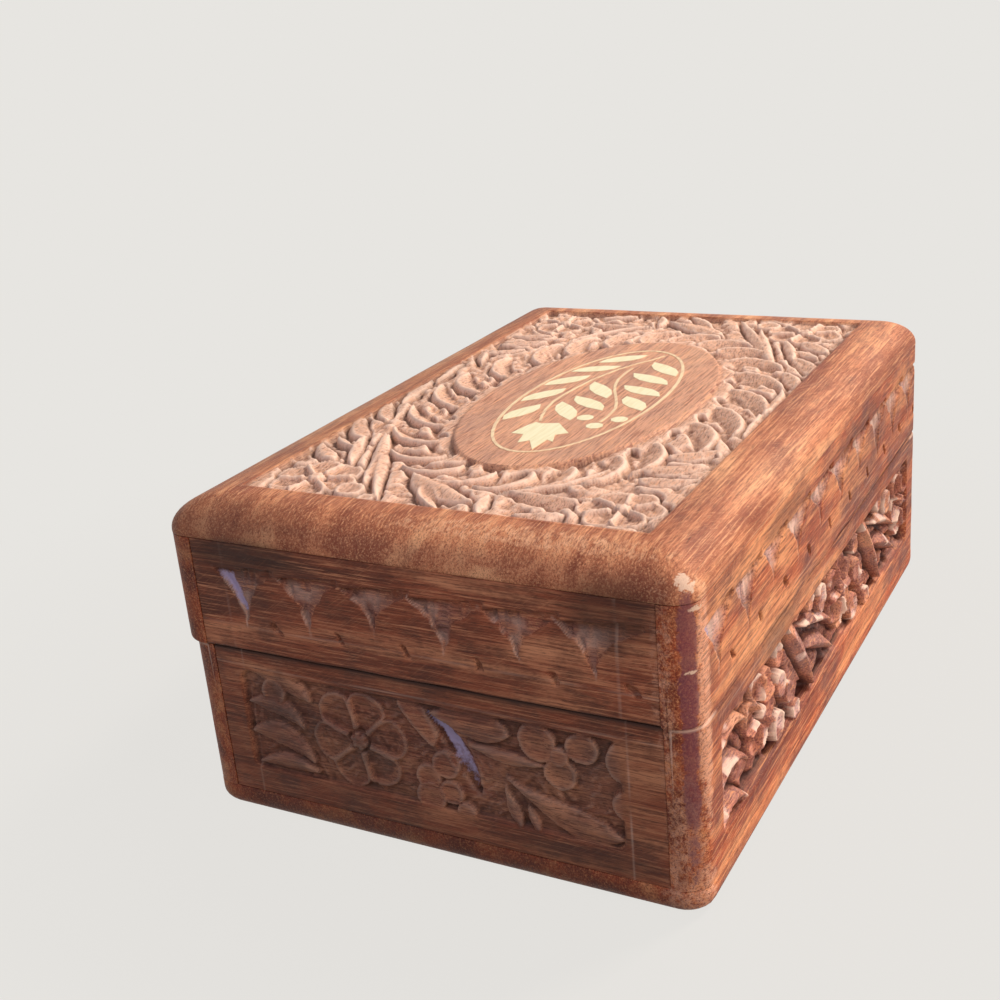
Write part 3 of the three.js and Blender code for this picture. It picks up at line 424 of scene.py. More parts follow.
def carve_end_panel(u, v, half, depth):
    """The spray in an end base wall: a flower, a swept gouge, buds, a lobed leaf and a blade. Heights
    are counted from the panel's foot, and the spray is cut shallower than the vine."""
    inside = frame_distance(u, v, (-39.5, PANEL_LOW), (37.0, PANEL_HIGH), 2.5)
    x, y = wander(u, v, 51)
    y = y - PANEL_LOW
    forms = [
        flower(x, y, (-14.6, 10.6), 10.6, 0.2),
        leaf(x, y, (-5.8, 20.4), (1.2, 12.4), 5.6, 1.6, 1.0, -0.5, 0.7),
        leaf(x, y, (0.2, 19.4), (16.6, 18.0), 7.4, 0.2, 1.4, -0.3, 0.7),
        leaf(x, y, (7.2, 15.0), (23.4, 13.6), 3.4, -0.8, 1.0, 0.2, 0.7),
        leaf(x, y, (12.4, 12.0), (37.0, 2.2), 6.4, -2.6, 1.9, 0.3, 0.7),
        leaf(x, y, (14.6, 9.0), (17.4, -0.2), 3.4, -0.4, 1.6, 0.2, 0.7),
        leaf(x, y, (18.4, 5.8), (21.0, -0.2), 3.0, -0.3, 1.6, 0.2, 0.7),
        lobe(x, y, (3.3, 9.4), 3.2),
        lobe(x, y, (-0.6, 6.4), 3.0),
        lobe(x, y, (-0.4, 2.4), 3.4),
        lobe(x, y, (3.8, 3.8), 2.8),
        lobe(x, y, (21.4, 17.8), 4.0),
        lobe(x, y, (29.6, 18.2), 3.4),
        lobe(x, y, (25.4, 12.4), 3.6),
        lobe(x, y, (25.6, 15.8), 2.2, 0.0),
        leaf(x, y, (-38.4, 21.2), (-24.0, 16.2), 6.4, 1.8, 1.0, 0.3, 0.6),
        leaf(x, y, (-39.0, 7.8), (-25.0, 3.4), 6.0, 2.4, 1.0, 0.3, 0.6),
        leaf(x, y, (-38.6, 14.2), (-26.0, 10.4), 5.0, 1.8, 1.0, 0.3, 0.6),
        leaf(x, y, (-38.6, 1.4), (-24.0, 1.6), 4.4, 1.0, 1.0, 0.3, 0.6),
        lobe(x, y, (-32.4, 17.2), 3.0),
        lobe(x, y, (38.0, 17.2), 4.6, 0.0),
        lobe(x, y, (37.6, 8.8), 3.2, 0.0),
        lobe(x, y, (6.6, 0.4), 2.4, 0.0),
    ]
    height = standing(np.full_like(x, 0.5), *forms)
    ground = 1.0 - smooth(0.5, 0.65, height)
    height = height + (0.03 + 0.1 * ground) * tool_marks(u, v, 61)
    cut = gouge(x, y, *GOUGE_ENDS, GOUGE_WIDTH, 1.2, 1.2)
    sunk = bank(inside, 0.9)
    marks = {"carved": 0.3 * sunk, "glint": smooth(0.7, 0.95, cut) * smooth(1.0, 16.0, y)}
    return depth * sunk * np.clip(1.0 - height, 0.0, 1.1) + 0.9 * cut, marks


def carve_scallops(u, v, half, depth):
    """The row of scallops on a lid wall: between each two arches a ragged claw. Its left edge is
    crisp and curves down to the point as a power of the way down, its floor is deepest along that
    edge and rises in upright hatches to nothing at the right, and a small three-cornered chip lies
    under each arch. The floor is painted pale as cut wood, less towards the right, and this is partly a
    painted highlight where its slope catches the light; torn patches of it get a painted highlight as a
    crest. The crisp edge gets a painted highlight line, and the first claw's left part a painted
    lavender reflection."""
    x, y = wander(u, v, 71)
    x = x + 0.5 * noise(u, v, 1.6, 75)
    count = max(round((2 * half - 21.0) / SCALLOP_PITCH), 1)
    pitch = (2 * half - 21.0) / count
    hatches = 0.75 + 0.25 * noise(u, 0.25 * v, 0.7, 77)
    sunk, edge, floor, first = np.zeros((4, *u.shape))
    rng = np.random.default_rng(79)
    for i in range(count + 1):
        place = -half + 10.5 + i * pitch
        drop, width = CLAW_DROP * rng.uniform(0.85, 1.1), CLAW_WIDTH * rng.uniform(0.9, 1.1)
        fall = np.clip((CLAW_HEAD - y) / drop, 0.0, 1.0)
        left = place - 0.5 * width * (1.0 - fall) ** 2.2
        right = place + 0.5 * width * (1.0 - fall) ** 3.2 + 1.2 * (1.0 - fall)
        inside = np.minimum(np.minimum(x - left, right - x), CLAW_HEAD - y + 0.1 * (x - left))
        across = np.clip((x - left) / np.maximum(right - left, TINY), 0.0, 1.0)
        claw = bank(inside, 0.35) * (1.0 - 0.7 * across) * (1.0 - 0.35 * fall) * hatches
        chip_x, chip_y = x - place - 0.45 * pitch, y - CHIP_HEIGHT
        chip = smooth(0.0, 0.7, np.minimum(chip_x + 0.6 * chip_y + 0.9, 0.8 - chip_x - 0.6 * chip_y))
        chip = chip * smooth(-1.2, -0.9, chip_y) * smooth(1.6, 0.2, chip_y)
        sunk = np.maximum(sunk, np.maximum(claw, 0.5 * chip))
        faded = (1.0 - 0.75 * smooth(0.3, 1.0, across)) * smooth(-0.2, 2.0, CLAW_HEAD - y)
        floor = np.maximum(floor, bank(inside, 0.35) * faded * hatches)
        # The first claw's left part gets a painted lavender reflection.
        first = floor * smooth(0.4, 0.2, across) if i == 0 else first
        # A painted highlight line along each claw's crisp left edge.
        beside = np.exp(-(((x - left) / 0.2) ** 2)) * smooth(-0.6, 0.0, CLAW_HEAD - y)
        edge = np.maximum(edge, 0.6 * beside * smooth(1.0, 0.9, fall) * smooth(0.6, 0.9, hatches))
    # The floor's pale cut wood is partly a painted highlight where its slope catches the light, and torn
    # patches of it are a painted highlight.
    torn_highlight = floor * smooth(-0.3, 0.3, noise(u, v, 1.8, 83))
    marks = {"carved": 1.5 * floor, "crest": torn_highlight, "scribed": edge, "glint": 1.4 * first}
    return depth * sunk, marks


# Meshes


def new_piece(name, points, faces, marks):
    """A smooth mesh object from points in millimetres, blocks of faces as rows of point numbers, and
    named marks with one number for each point."""
    mesh = bpy.data.meshes.new(name)
    corners = np.concatenate([block.ravel() for block in faces])
    counts = np.concatenate([np.full(len(block), block.shape[1]) for block in faces])
    mesh.vertices.add(len(points))
    mesh.vertices.foreach_set("co", (points * MM).astype(np.float32).ravel())
    mesh.loops.add(len(corners))
    mesh.loops.foreach_set("vertex_index", corners.astype(np.int32))
    mesh.polygons.add(len(counts))
    mesh.polygons.foreach_set("loop_start", (np.cumsum(counts) - counts).astype(np.int32))
    mesh.update(calc_edges=True)
    mesh.validate()
    mesh.polygons.foreach_set("use_smooth", counts == 4)
    for mark, values in marks.items():
        attribute = mesh.attributes.new(mark, "FLOAT", "POINT")
        attribute.data.foreach_set("value", values.astype(np.float32).ravel())
    piece = bpy.data.objects.new(name, mesh)
    bpy.context.scene.collection.objects.link(piece)
    return piece


def quads(rows, columns, wrap=False):
    """Point numbers of the quads of a grid numbered row by row, looking along columns x rows."""
    last = rows if wrap else rows - 1
    r = np.arange(last)[:, None]
    c = np.arange(columns - 1)[None, :]
    here, above = r * columns, (r + 1) % rows * columns
    return np.stack([here + c, here + c + 1, above + c + 1, above + c], -1).reshape(-1, 4)


def fan(centre, loop):
    """Triangles from a centre point to each two neighbours on a closed loop."""
    return np.stack([np.full(len(loop), centre), loop, np.roll(loop, -1)], -1)


def relief_marks(depth, carved, step, dirt_and_shade, wear_and_highlight):
    """The hollows, darkened by a share of dark wax and painted shade in them, and the crests of a carved
    face, paled by a share of wear and painted highlight, as how far it lies under or over its blurred
    self."""
    soft = blurred(depth, 1.3 / step)
    fine = blurred(depth, 0.5 / step)
    worn_and_highlit = wear_and_highlight * smooth(0.56, 1.0, carved / carved.max())
    # Dark wax and painted shade in the hollows, and wear and a painted highlight on the crests.
    return {
        "hollow": dirt_and_shade * np.clip((depth - soft) / 0.8, 0.0, 1.0),
        "crest": worn_and_highlit * np.clip((fine - depth) / 0.22, 0.0, 1.0),
    }


# Worn places, stains, painted shade and a painted reflection: middle, reach along each axis, and
# strength. The near corner has the most of them

NEAR_CORNER = LID_CENTRE - LID_HALF + np.array([1.2, 1.5])
BARE_SPOTS = [
    ((NEAR_CORNER[0] + 0.9, NEAR_CORNER[1] + 0.2, 60.6), (1.9, 2.1, 2.2), 0.8),
    ((NEAR_CORNER[0] + 2.2, NEAR_CORNER[1] - 0.2, 56.0), (2.6, 1.4, 0.8), 0.85),
    ((NEAR_CORNER[0] + 0.2, NEAR_CORNER[1] - 0.3, 45.5), (1.1, 1.6, 0.4), 0.7),
]
RUBBED_SPOTS = [
    ((NEAR_CORNER[0] + 1.0, NEAR_CORNER[1] + 0.5, 5.0), (5.0, 6.0, 6.0), 0.6),
    ((NEAR_CORNER[0] - 0.5, NEAR_CORNER[1] + 1.0, 16.0), (3.0, 4.2, 12.0), 0.55),
    ((NEAR_CORNER[0] - 0.8, NEAR_CORNER[1] + 4.0, 44.0), (3.0, 2.2, 26.0), 0.4),
    ((NEAR_CORNER[0] + 3.0, NEAR_CORNER[1] - 2.0, 40.0), (2.6, 3.0, 28.0), 0.8),
    ((-70.0, -20.0, 63.0), (3.5, 30.0, 2.0), 0.5),
]
STAINS_AND_SHADE = [
    ((-75.4, 34.5, 54.5), (4.0, 14.0, 4.5), 0.8),
    ((-75.4, -37.0, 54.5), (4.0, 9.0, 6.0), 0.7),
    # Painted shade: the next two darken the base's end wall as a whole, as less light falls on it than on
    # the lid's.
    ((-74.6, 5.0, 16.0), (4.0, 70.0, 26.0), 0.36),
    ((-74.6, 24.0, 14.0), (4.0, 30.0, 20.0), 0.52),
    ((-74.6, -30.0, 7.5), (4.0, 22.0, 2.6), 0.6),
    ((-74.6, 6.0, 1.5), (4.0, 60.0, 6.0), 0.7),
    ((-74.0, 50.0, 30.0), (6.0, 6.0, 40.0), 0.45),
    ((-74.0, 46.0, 60.5), (8.0, 26.0, 5.0), 0.44),
    ((-10.0, 47.0, 62.0), (90.0, 12.0, 5.0), 0.34),
    ((-33.0, -50.4, 33.0), (10.0, 4.0, 4.0), 0.5),
    ((-30.0, -50.4, 54.0), (12.0, 4.0, 2.4), 0.45),
    ((20.0, -50.4, 53.0), (20.0, 4.0, 3.0), 0.45),
    ((45.0, -50.4, 36.0), (45.0, 4.0, 24.0), 0.22),
]
# A painted violet reflection down the near rounded corner.
CORNER_REFLECTION = [((*NEAR_CORNER, height), (1.8, 1.8, 8.0), 1.0) for height in (52.0, 42.0, 32.0, 23.0)]
CORNER_REFLECTION += [((*NEAR_CORNER, 12.0), (1.5, 1.5, 8.0), 0.55)]


def spot_marks(points, spots):
    """How strongly the spots mark each point: 1 in a spot's middle, falling to 0 past its reach along
    each axis.
    """
    mark = np.zeros(len(points))
    for place, reach, strength in spots:
        away = np.linalg.norm((points - place) / np.array(reach), axis=1)
        mark = np.maximum(mark, strength * (1.0 - smooth(0.5, 1.3, away)))
    return mark


def wear_marks(points):
    """Marks of wood worn bare, rubbed pale, stained nearly black and darkened by painted shade, and given
    a painted violet reflection down the near corner.
    """
    return {
        "bare": spot_marks(points, BARE_SPOTS),
        "rubbed": spot_marks(points, RUBBED_SPOTS),
        "stained": spot_marks(points, STAINS_AND_SHADE),
        "polished": spot_marks(points, CORNER_REFLECTION),
    }


def line_marks(u, v, half, long_wall):
    """The lines drawn on a wall. The carver's guide lines are bell curves, broken by noise, and an end
    wall has upright ones too. The base's rim gets a painted highlight at the corners of a long wall, and
    elsewhere a painted shadow under the lid, as the lid's lower edge does."""
    levels = LONG_GUIDES if long_wall else END_GUIDES
    broken = 0.5 + 0.5 * noise(u, v, 5.0, 95)
    swayed = v + 0.3 * noise(u, v, 20.0, 96)
    lines = [0.35 * np.exp(-(((swayed - level) / 0.17) ** 2)) for level in levels]
    if not long_wall:
        lines.append(np.where(u > 0.0, 0.45, 0.2) * np.exp(-(((np.abs(u) - END_UPRIGHTS) / 0.17) ** 2)))
    at_corner = smooth(9.0, 6.0, half - np.abs(u)) * long_wall
    below = np.where(v < BASE_RIM + TINY, BASE_RIM - v, 9.0)
    above = np.where(v > BASE_RIM + TINY, v - BASE_RIM - 0.4, 9.0)
    # Painted highlight along the base's rim near a long wall's corners.
    rim_highlight = 0.8 * at_corner * np.exp(-(((below - 0.25) / 0.2) ** 2))
    # Painted shadow along the parting line, on the base's rim under the lid and on the lid's lower edge.
    dirt_and_shade = np.maximum(np.exp(-((below / 0.9) ** 2)), 0.7 * np.exp(-((above / 0.35) ** 2)))
    return {
        "scribed": np.maximum(broken * np.maximum.reduce(lines) * (1.0 - at_corner), rim_highlight),
        "hollow": (0.3 if long_wall else 1.1) * dirt_and_shade * (1.0 - at_corner),
    }


def all_marks(points, *face_marks):
    """Every mark of a piece, with one number for each point: the greatest of those that are given. A
    face's marks fill the first points."""
    marks = {}
    for mark in ("hollow", "crest", "carved", "scribed", "glint"):
        marks[mark] = np.zeros(len(points))
        for given in face_marks:
            values = given.get(mark, np.zeros(0)).ravel()
            marks[mark][: values.size] = np.maximum(marks[mark][: values.size], values)
    return marks | wear_marks(points)


def rim_cut(aside, inward, pin_inset):
    """How deep a back rim is cut at a place along it and inward from its face: the stop bevel outside
    the pin, and for each hinge the seat of the leaf and the groove of the barrel."""
    outward = pin_inset - inward
    gap = PIN_PLACE[2] - box_of("base_back_wall")[1][2]
    bevel = outward * STOP_SLOPE - gap
    near = np.abs(np.abs(aside) - abs(PIN_PLACE[0])) < BARREL_HALF + HINGE_PLAY
    groove = np.sqrt(np.clip((KNUCKLE_RADIUS + HINGE_PLAY) ** 2 - outward**2, 0.0, None)) - gap
    leaf_reach = PIN_PLACE[1] - LEAF_LOW[1] + HINGE_PLAY
    seat_depth = min(PIN_PLACE[2] - LEAF_LOW[2] - gap, SEAT_DEPTH)
    seat = np.where((outward < 0.0) & (outward > -leaf_reach), seat_depth, 0.0)
    return np.maximum(bevel, np.maximum(groove, seat) * near).clip(0.0)


def ease(gap, radius):
    """How far a rounded edge draws back at a distance from the edge: a quarter circle."""
    t = np.clip(1.0 - gap / radius, 0.0, 1.0)
    return radius * (1.0 - np.sqrt(1.0 - t * t))


def steps_between(low, high, step, edge):
    """Places from low to high about a step apart, and closer within an edge of either end."""
    close = edge * (1.0 - np.cos(np.linspace(0.0, np.pi / 2, 5)))
    middle = np.linspace(low + edge, high - edge, max(int((high - low) / step), 2))
    return np.concatenate([low + close[:-1], middle, high - close[-2::-1]])


def wall(name, node, quarter_turns, carve, carving_depth, hangs, hinge_rim):
    """A wall as a closed tube of sections along its length, with a cap on each end. A section goes up the
    carved face, across the top rim, down the inside and back across the lower rim. A long wall has
    rounded ends and thin laps, and an end wall fills the room between the laps."""
    low, high = box_of(node)
    turn = quarter_turns * np.pi / 2
    centre, size = (low + high) / 2, high - low
    long_wall = quarter_turns % 2 == 0
    half, thick = (size[0] / 2, size[1]) if long_wall else (size[1] / 2, size[0])
    if long_wall:
        arc = half - CORNER_RADIUS * (1.0 - np.sin(np.linspace(0.0, np.pi / 2, ARC_STEPS)))
        flat = np.arange(-half + CORNER_RADIUS, half - CORNER_RADIUS, CELL)
        lap_ends = half - thick + np.array([-0.01, 0.01])
        u = np.unique(np.concatenate([-arc, flat, arc, lap_ends, -lap_ends]).round(4))
        bend = np.clip(np.abs(u) - half + CORNER_RADIUS, 0.0, CORNER_RADIUS)
        inset = CORNER_RADIUS - np.sqrt(CORNER_RADIUS**2 - bend**2)
        lap = LID_HALF[1] - (box_of("lid_left_wall")[1][1] - LID_CENTRE[1])
        back = np.where(np.abs(u) > half - thick, lap - GLUE, thick)
    else:
        u = steps_between(-half, half, CELL, JOINT_EDGE)
        inset = ease(half - np.abs(u), JOINT_EDGE)
        back = np.full_like(u, thick)
    rim_edge = EDGE * (1.0 + 0.5 * noise(u, 0 * u + low[2], 9.0, 7))
    upper_edge, lower_edge = (JOINT_EDGE, rim_edge) if hangs else (rim_edge, JOINT_EDGE)
    rises = steps_between(0.0, 1.0, CELL / size[2], EDGE / size[2])
    shares = steps_between(0.0, 1.0, 0.03 if hinge_rim else 0.3, 0.05)
    across = inset + rim_edge + np.multiply.outer(shares, back - inset - rim_edge - JOINT_EDGE)
    cut = np.zeros_like(across)
    pin_inset = abs(centre[1]) + thick / 2 - PIN_PLACE[1]
    if hinge_rim:
        cut = rim_cut(centre[0] - u, across, pin_inset)
    upper = high[2] - (0.0 if hangs else 1.0) * cut
    lower = low[2] + (1.0 if hangs else 0.0) * cut
    height = lower[0] + np.multiply.outer(rises, upper[0] - lower[0])
    flat_u = np.broadcast_to(u, height.shape)
    depth, cut_marks = carve(flat_u, height, half, carving_depth)
    sway = 0.05 * noise(flat_u, height, 14.0, 3) + 0.03 * noise(flat_u, height, 4.0, 4)
    sway = sway * smooth(0.0, 3.0, half - np.abs(u))
    rounding = ease(upper[0] - height, upper_edge) + ease(height - lower[0], lower_edge)
    face = inset + rounding + depth + sway + FACE_SWAY
    if hinge_rim:  # the rounded edge may not stand past the plane of the stop bevel
        off_pin = np.abs(PIN_PLACE[2] - height)
        face = np.maximum(face, pin_inset + STOP_GAP - off_pin / STOP_SLOPE)
    falls = steps_between(0.0, 1.0, 0.2, EDGE / size[2])[::-1]
    inner_height = lower[-1] + np.multiply.outer(falls, upper[-1] - lower[-1])
    inner = back - ease(np.minimum(upper[-1] - inner_height, inner_height - lower[-1]), JOINT_EDGE)
    plain = 4 if hinge_rim else 1  # a back wall's glued rim needs fewer steps than its hinged rim
    over = slice(1, -1, plain if hangs else 1)
    under = slice(-2, 0, -1 if hangs else -plain)
    y = np.concatenate([face, across[over], inner, across[under]])
    z = np.concatenate([height, upper[over], inner_height, lower[under]])
    x = np.broadcast_to(u, z.shape)
    rows, columns = z.shape
    outer = abs(centre[1] if long_wall else centre[0]) + thick / 2
    middle = (centre[0], 0.0) if long_wall else (0.0, centre[1])
    x_out = x * math.cos(turn) - (y - outer) * math.sin(turn) + middle[0]
    y_out = x * math.sin(turn) + (y - outer) * math.cos(turn) + middle[1]
    points = np.stack([x_out, y_out, z], -1).reshape(-1, 3)
    first, last = points.reshape(rows, columns, 3)[:, 0], points.reshape(rows, columns, 3)[:, -1]
    points = np.concatenate([points, [first.mean(0), last.mean(0)]])
    ring = np.arange(rows) * columns
    faces = [
        quads(rows, columns, wrap=True),
        fan(rows * columns, ring),
        fan(rows * columns + 1, ring[::-1] + columns - 1),
    ]
    # Shares of dark wax and painted shade in the hollows, and of wear and painted highlight on the
    # crests.
    dirt_and_shade, wear_and_highlight = (0.5 if hangs and not long_wall else 1.0), (1.0 if long_wall else 0.6)
    relief = relief_marks(depth, cut_marks["carved"], CELL, dirt_and_shade, wear_and_highlight)
    marks = all_marks(points, cut_marks, relief, line_marks(flat_u, height, half, long_wall))
    return new_piece(name, points, faces, marks)


def outline_ring(border, half, radius):
    """A loop of border points, shares of a rectangle's half sizes, laid on a rectangle of another size
    whose corners are rounded: what lies past a corner's centre is drawn in to its arc."""
    place = border * half
    corner = half - radius
    past = np.abs(place) - corner
    both = np.all(past > 0.0, axis=1)
    stretch = radius / np.maximum(np.hypot(*past.T), TINY)
    drawn = np.sign(place) * (corner + past * stretch[:, None])
    return np.where(both[:, None], drawn, place)


def top_board(name, depth):
    """The lid's top board: the carved field as a grid, rings from its border over the rounded edge down
    to the underside, and a fan that closes the underside."""
    half = LID_HALF - BORDER + 0.8
    x = np.linspace(-half[0], half[0], int(2 * half[0] / TOP_CELL))
    y = np.linspace(-half[1], half[1], int(2 * half[1] / TOP_CELL))
    u, v = np.meshgrid(x, y)
    sunk, cut_marks = carve_top(u, v, depth)
    top = TOP_HIGH[2]
    grid = np.stack([u, v, top - sunk - TOP_SWAY - TOP_SWAY * noise(u, v, 15.0, 3)], -1)
    rows, columns = u.shape
    index = np.arange(rows * columns).reshape(rows, columns)
    loop = np.concatenate([index[0, :-1], index[:-1, -1], index[-1, :0:-1], index[:0:-1, 0]])
    border = grid.reshape(-1, 3)[loop, :2] / half
    span = (LID_HALF - half)[0]
    flat = np.linspace(0.0, span - TOP_ROUND_ACROSS, 3)[1:]
    angles = np.linspace(np.pi / 2, 0.0, ARC_STEPS)
    outs = np.concatenate([flat, span - TOP_ROUND_ACROSS * (1.0 - np.cos(angles))[1:], [span, span]])
    drops = np.concatenate([0.0 * flat, TOP_ROUND_DOWN * (1.0 - np.sin(angles))[1:]])
    foot = TOP_HIGH[2] - TOP_LOW[2]
    drops = np.concatenate([drops, [foot - TOP_FOOT, foot]])
    outs[-1] -= TOP_FOOT
    rings = []
    for out, drop in zip(outs, drops):
        radius = max(CORNER_RADIUS * (out / span), 0.5)
        plan = outline_ring(border, half + out, radius)
        rings.append(np.column_stack([plan, np.full(len(plan), top - drop - TOP_SWAY)]))
    rings[-1][:, 2] = TOP_LOW[2]
    swell = noise(rings[0][:, 0], rings[0][:, 1], 12.0, 8)
    for ring in rings[:-2]:
        ring[:, 2] -= ROUND_SWAY * (1 + swell)
    points = np.concatenate([grid.reshape(-1, 3), *rings, [[0.0, 0.0, TOP_LOW[2]]]])
    points[:, :2] += LID_CENTRE
    faces = [quads(rows, columns)]
    inner = loop
    for k in range(len(rings)):
        outer = rows * columns + k * len(loop) + np.arange(len(loop))
        faces.append(np.stack([inner, outer, np.roll(outer, -1), np.roll(inner, -1)], -1))
        inner = outer
    faces.append(fan(len(points) - 1, inner[::-1]))
    relief = relief_marks(sunk, cut_marks["carved"], TOP_CELL, 1.0, 1.0)
    return new_piece(name, points, faces, all_marks(points, cut_marks, relief))


def bottom_board(name):
    """The bottom board: rings round its rounded lower edge, a quarter circle below a straight side,
    closed by a fan above and below."""
    low, high = box_of("bottom_board")
    half = (high - low)[:2] / 2
    around = np.linspace(0.0, 1.0, 90, endpoint=False)
    side = np.concatenate([[-1 + 2 * around, -1 + 0 * around], [1 + 0 * around, -1 + 2 * around]], 1)
    border = np.concatenate([side.T, -side.T])
    angles = np.linspace(0.0, np.pi / 2, 9)
    draws = np.concatenate([FOOT_ROUND * (1.0 - np.sin(angles)), [0.0, JOINT_EDGE]])
    rises = FOOT_ROUND * (1.0 - np.cos(angles))
    heights = np.concatenate([low[2] + rises, [high[2] - JOINT_EDGE, high[2]]])
    rings = []
    for draw, height in zip(draws, heights):
        plan = outline_ring(border, half - draw, CORNER_RADIUS)
        rings.append(np.column_stack([plan, np.full(len(plan), height)]))
    rows, columns = len(rings), len(border)
    points = np.concatenate([*rings, [[0.0, 0.0, low[2]], [0.0, 0.0, high[2]]]])
    closed = np.arange(rows * columns).reshape(rows, columns)
    here, ahead = closed[:-1], np.roll(closed, -1, 1)[:-1]
    above, over = closed[1:], np.roll(closed, -1, 1)[1:]
    faces = [
        np.stack([here, ahead, over, above], -1).reshape(-1, 4),
        fan(rows * columns, closed[0][::-1]),
        fan(rows * columns + 1, closed[-1]),
    ]
    return new_piece(name, points, faces, all_marks(points))


def velvet_sheet(name, node, faces_up):
    """A lining as a closed sheet. Its back is flat, and its pile side stands the cloth's thickness over
    it, less a quarter round at the edge and a low noise."""
    low, high = box_of(node)
    half, thick = (high - low)[:2] / 2, high[2] - low[2]
    x = steps_between(-half[0], half[0], 1.0, VELVET_EDGE)
    y = steps_between(-half[1], half[1], 1.0, VELVET_EDGE)
    u, v = np.meshgrid(x, y)
    margin = np.minimum(half[0] - np.abs(u), half[1] - np.abs(v))
    swell = 0.12 * noise(u, v, 16.0, 5) + 0.05 * noise(u, v, 4.0, 6) - 0.17
    pile = thick - ease(margin, VELVET_EDGE) + swell * smooth(0.0, 2.0, margin)
    back, front = (low[2], low[2] + pile) if faces_up else (high[2], high[2] - pile)
    grids = [np.stack([u, v, front], -1), np.stack([u, v, np.full_like(u, back)], -1)]
    points = np.concatenate([grid.reshape(-1, 3) for grid in grids])
    points[:, :2] += (low + high)[:2] / 2
    rows, columns = u.shape
    index = np.arange(rows * columns).reshape(rows, columns)
    loop = np.concatenate([index[0, :-1], index[:-1, -1], index[-1, :0:-1], index[:0:-1, 0]])
    under = loop + rows * columns
    sides = np.stack([under, np.roll(under, -1), np.roll(loop, -1), loop], -1)
    top = quads(rows, columns)
    faces = [top, (top + rows * columns)[:, ::-1], sides]
    if not faces_up:
        faces = [block[:, ::-1] for block in faces]
    return new_piece(name, points, faces, {})


# Materials


def linear(colour):
    """Linear RGBA of an sRGB hex colour."""
    parts = [int(colour[i : i + 2], 16) / 255 for i in (1, 3, 5)]
    return [p / 12.92 if p <= 0.04045 else ((p + 0.055) / 1.055) ** 2.4 for p in parts] + [1.0]


def add(tree, kind, inputs=None, stops=None, **settings):
    """A new node: its settings, its ramp's stops, and its inputs, each linked if it is given a socket
    and set if it is given a value."""
    node = tree.nodes.new(kind)
    for key, value in settings.items():
        setattr(node, key, value)
    for key, value in (inputs or {}).items():
        if isinstance(value, bpy.types.NodeSocket):
            tree.links.new(value, node.inputs[key])
        else:
            node.inputs[key].default_value = value
    if stops:
        ramp = node.color_ramp
        while len(ramp.elements) < len(stops):
            ramp.elements.new(1.0)
        for element, (place, colour) in zip(ramp.elements, stops):
            element.position = place
            element.color = colour
    return node


def new_material(name):
    """An empty node material and its tree and output."""
    material = bpy.data.materials.new(name)
    material.use_nodes = True
    tree = material.node_tree
    tree.nodes.clear()
    return material, tree, add(tree, "ShaderNodeOutputMaterial")


def noise_of(tree, place, scale, detail, roughness=0.5, distortion=0.0):
    """Noise at a place, round a middle of 0.5."""
    inputs = {"Vector": place, "Scale": scale, "Detail": detail}
    inputs |= {"Roughness": roughness, "Distortion": distortion}
    return add(tree, "ShaderNodeTexNoise", inputs).outputs["Fac"]


def cover(tree, output, height, strength, depth, surface):
    """Links a principled surface to the output, bumped by a height to a depth in mm."""
    bumps = {"Height": height, "Strength": strength, "Distance": depth * MM}
    normal = add(tree, "ShaderNodeBump", bumps).outputs["Normal"]
    shader = add(tree, "ShaderNodeBsdfPrincipled", surface | {"Normal": normal})
    tree.links.new(shader.outputs[0], output.inputs["Surface"])


MIX_FACTOR, MIX_A, MIX_B, MIX_RESULT = 0, 6, 7, 2
# Pale of worn crests and guide lines, and of painted highlights on crests, edges and the base's rim.
CREST_PALE = "#ffe0cc"
# Violet of the painted reflection on the near corner.
REFLECTION_VIOLET = "#7a4452"
GLINT_LAVENDER = "#c6bce0"
BARE_CREAM = "#f6d6bc"
TARNISH_BROWN = "#7a5a2c"
SHEEN_PINK = "#ff8890"

ALONG_X = (0.0, 0.0, 0.0)
ALONG_Y = (0.0, 0.0, math.pi / 2)
ACROSS_TOP = (0.0, 0.0, 0.5)
RISING_X = (0.0, math.atan2(0.8, 0.6), 0.0)  # turns a slant up along X onto X
RISING_Y = (math.atan2(0.6, 0.8), 0.0, math.pi / 2)  # turns a slant up along -Y onto X


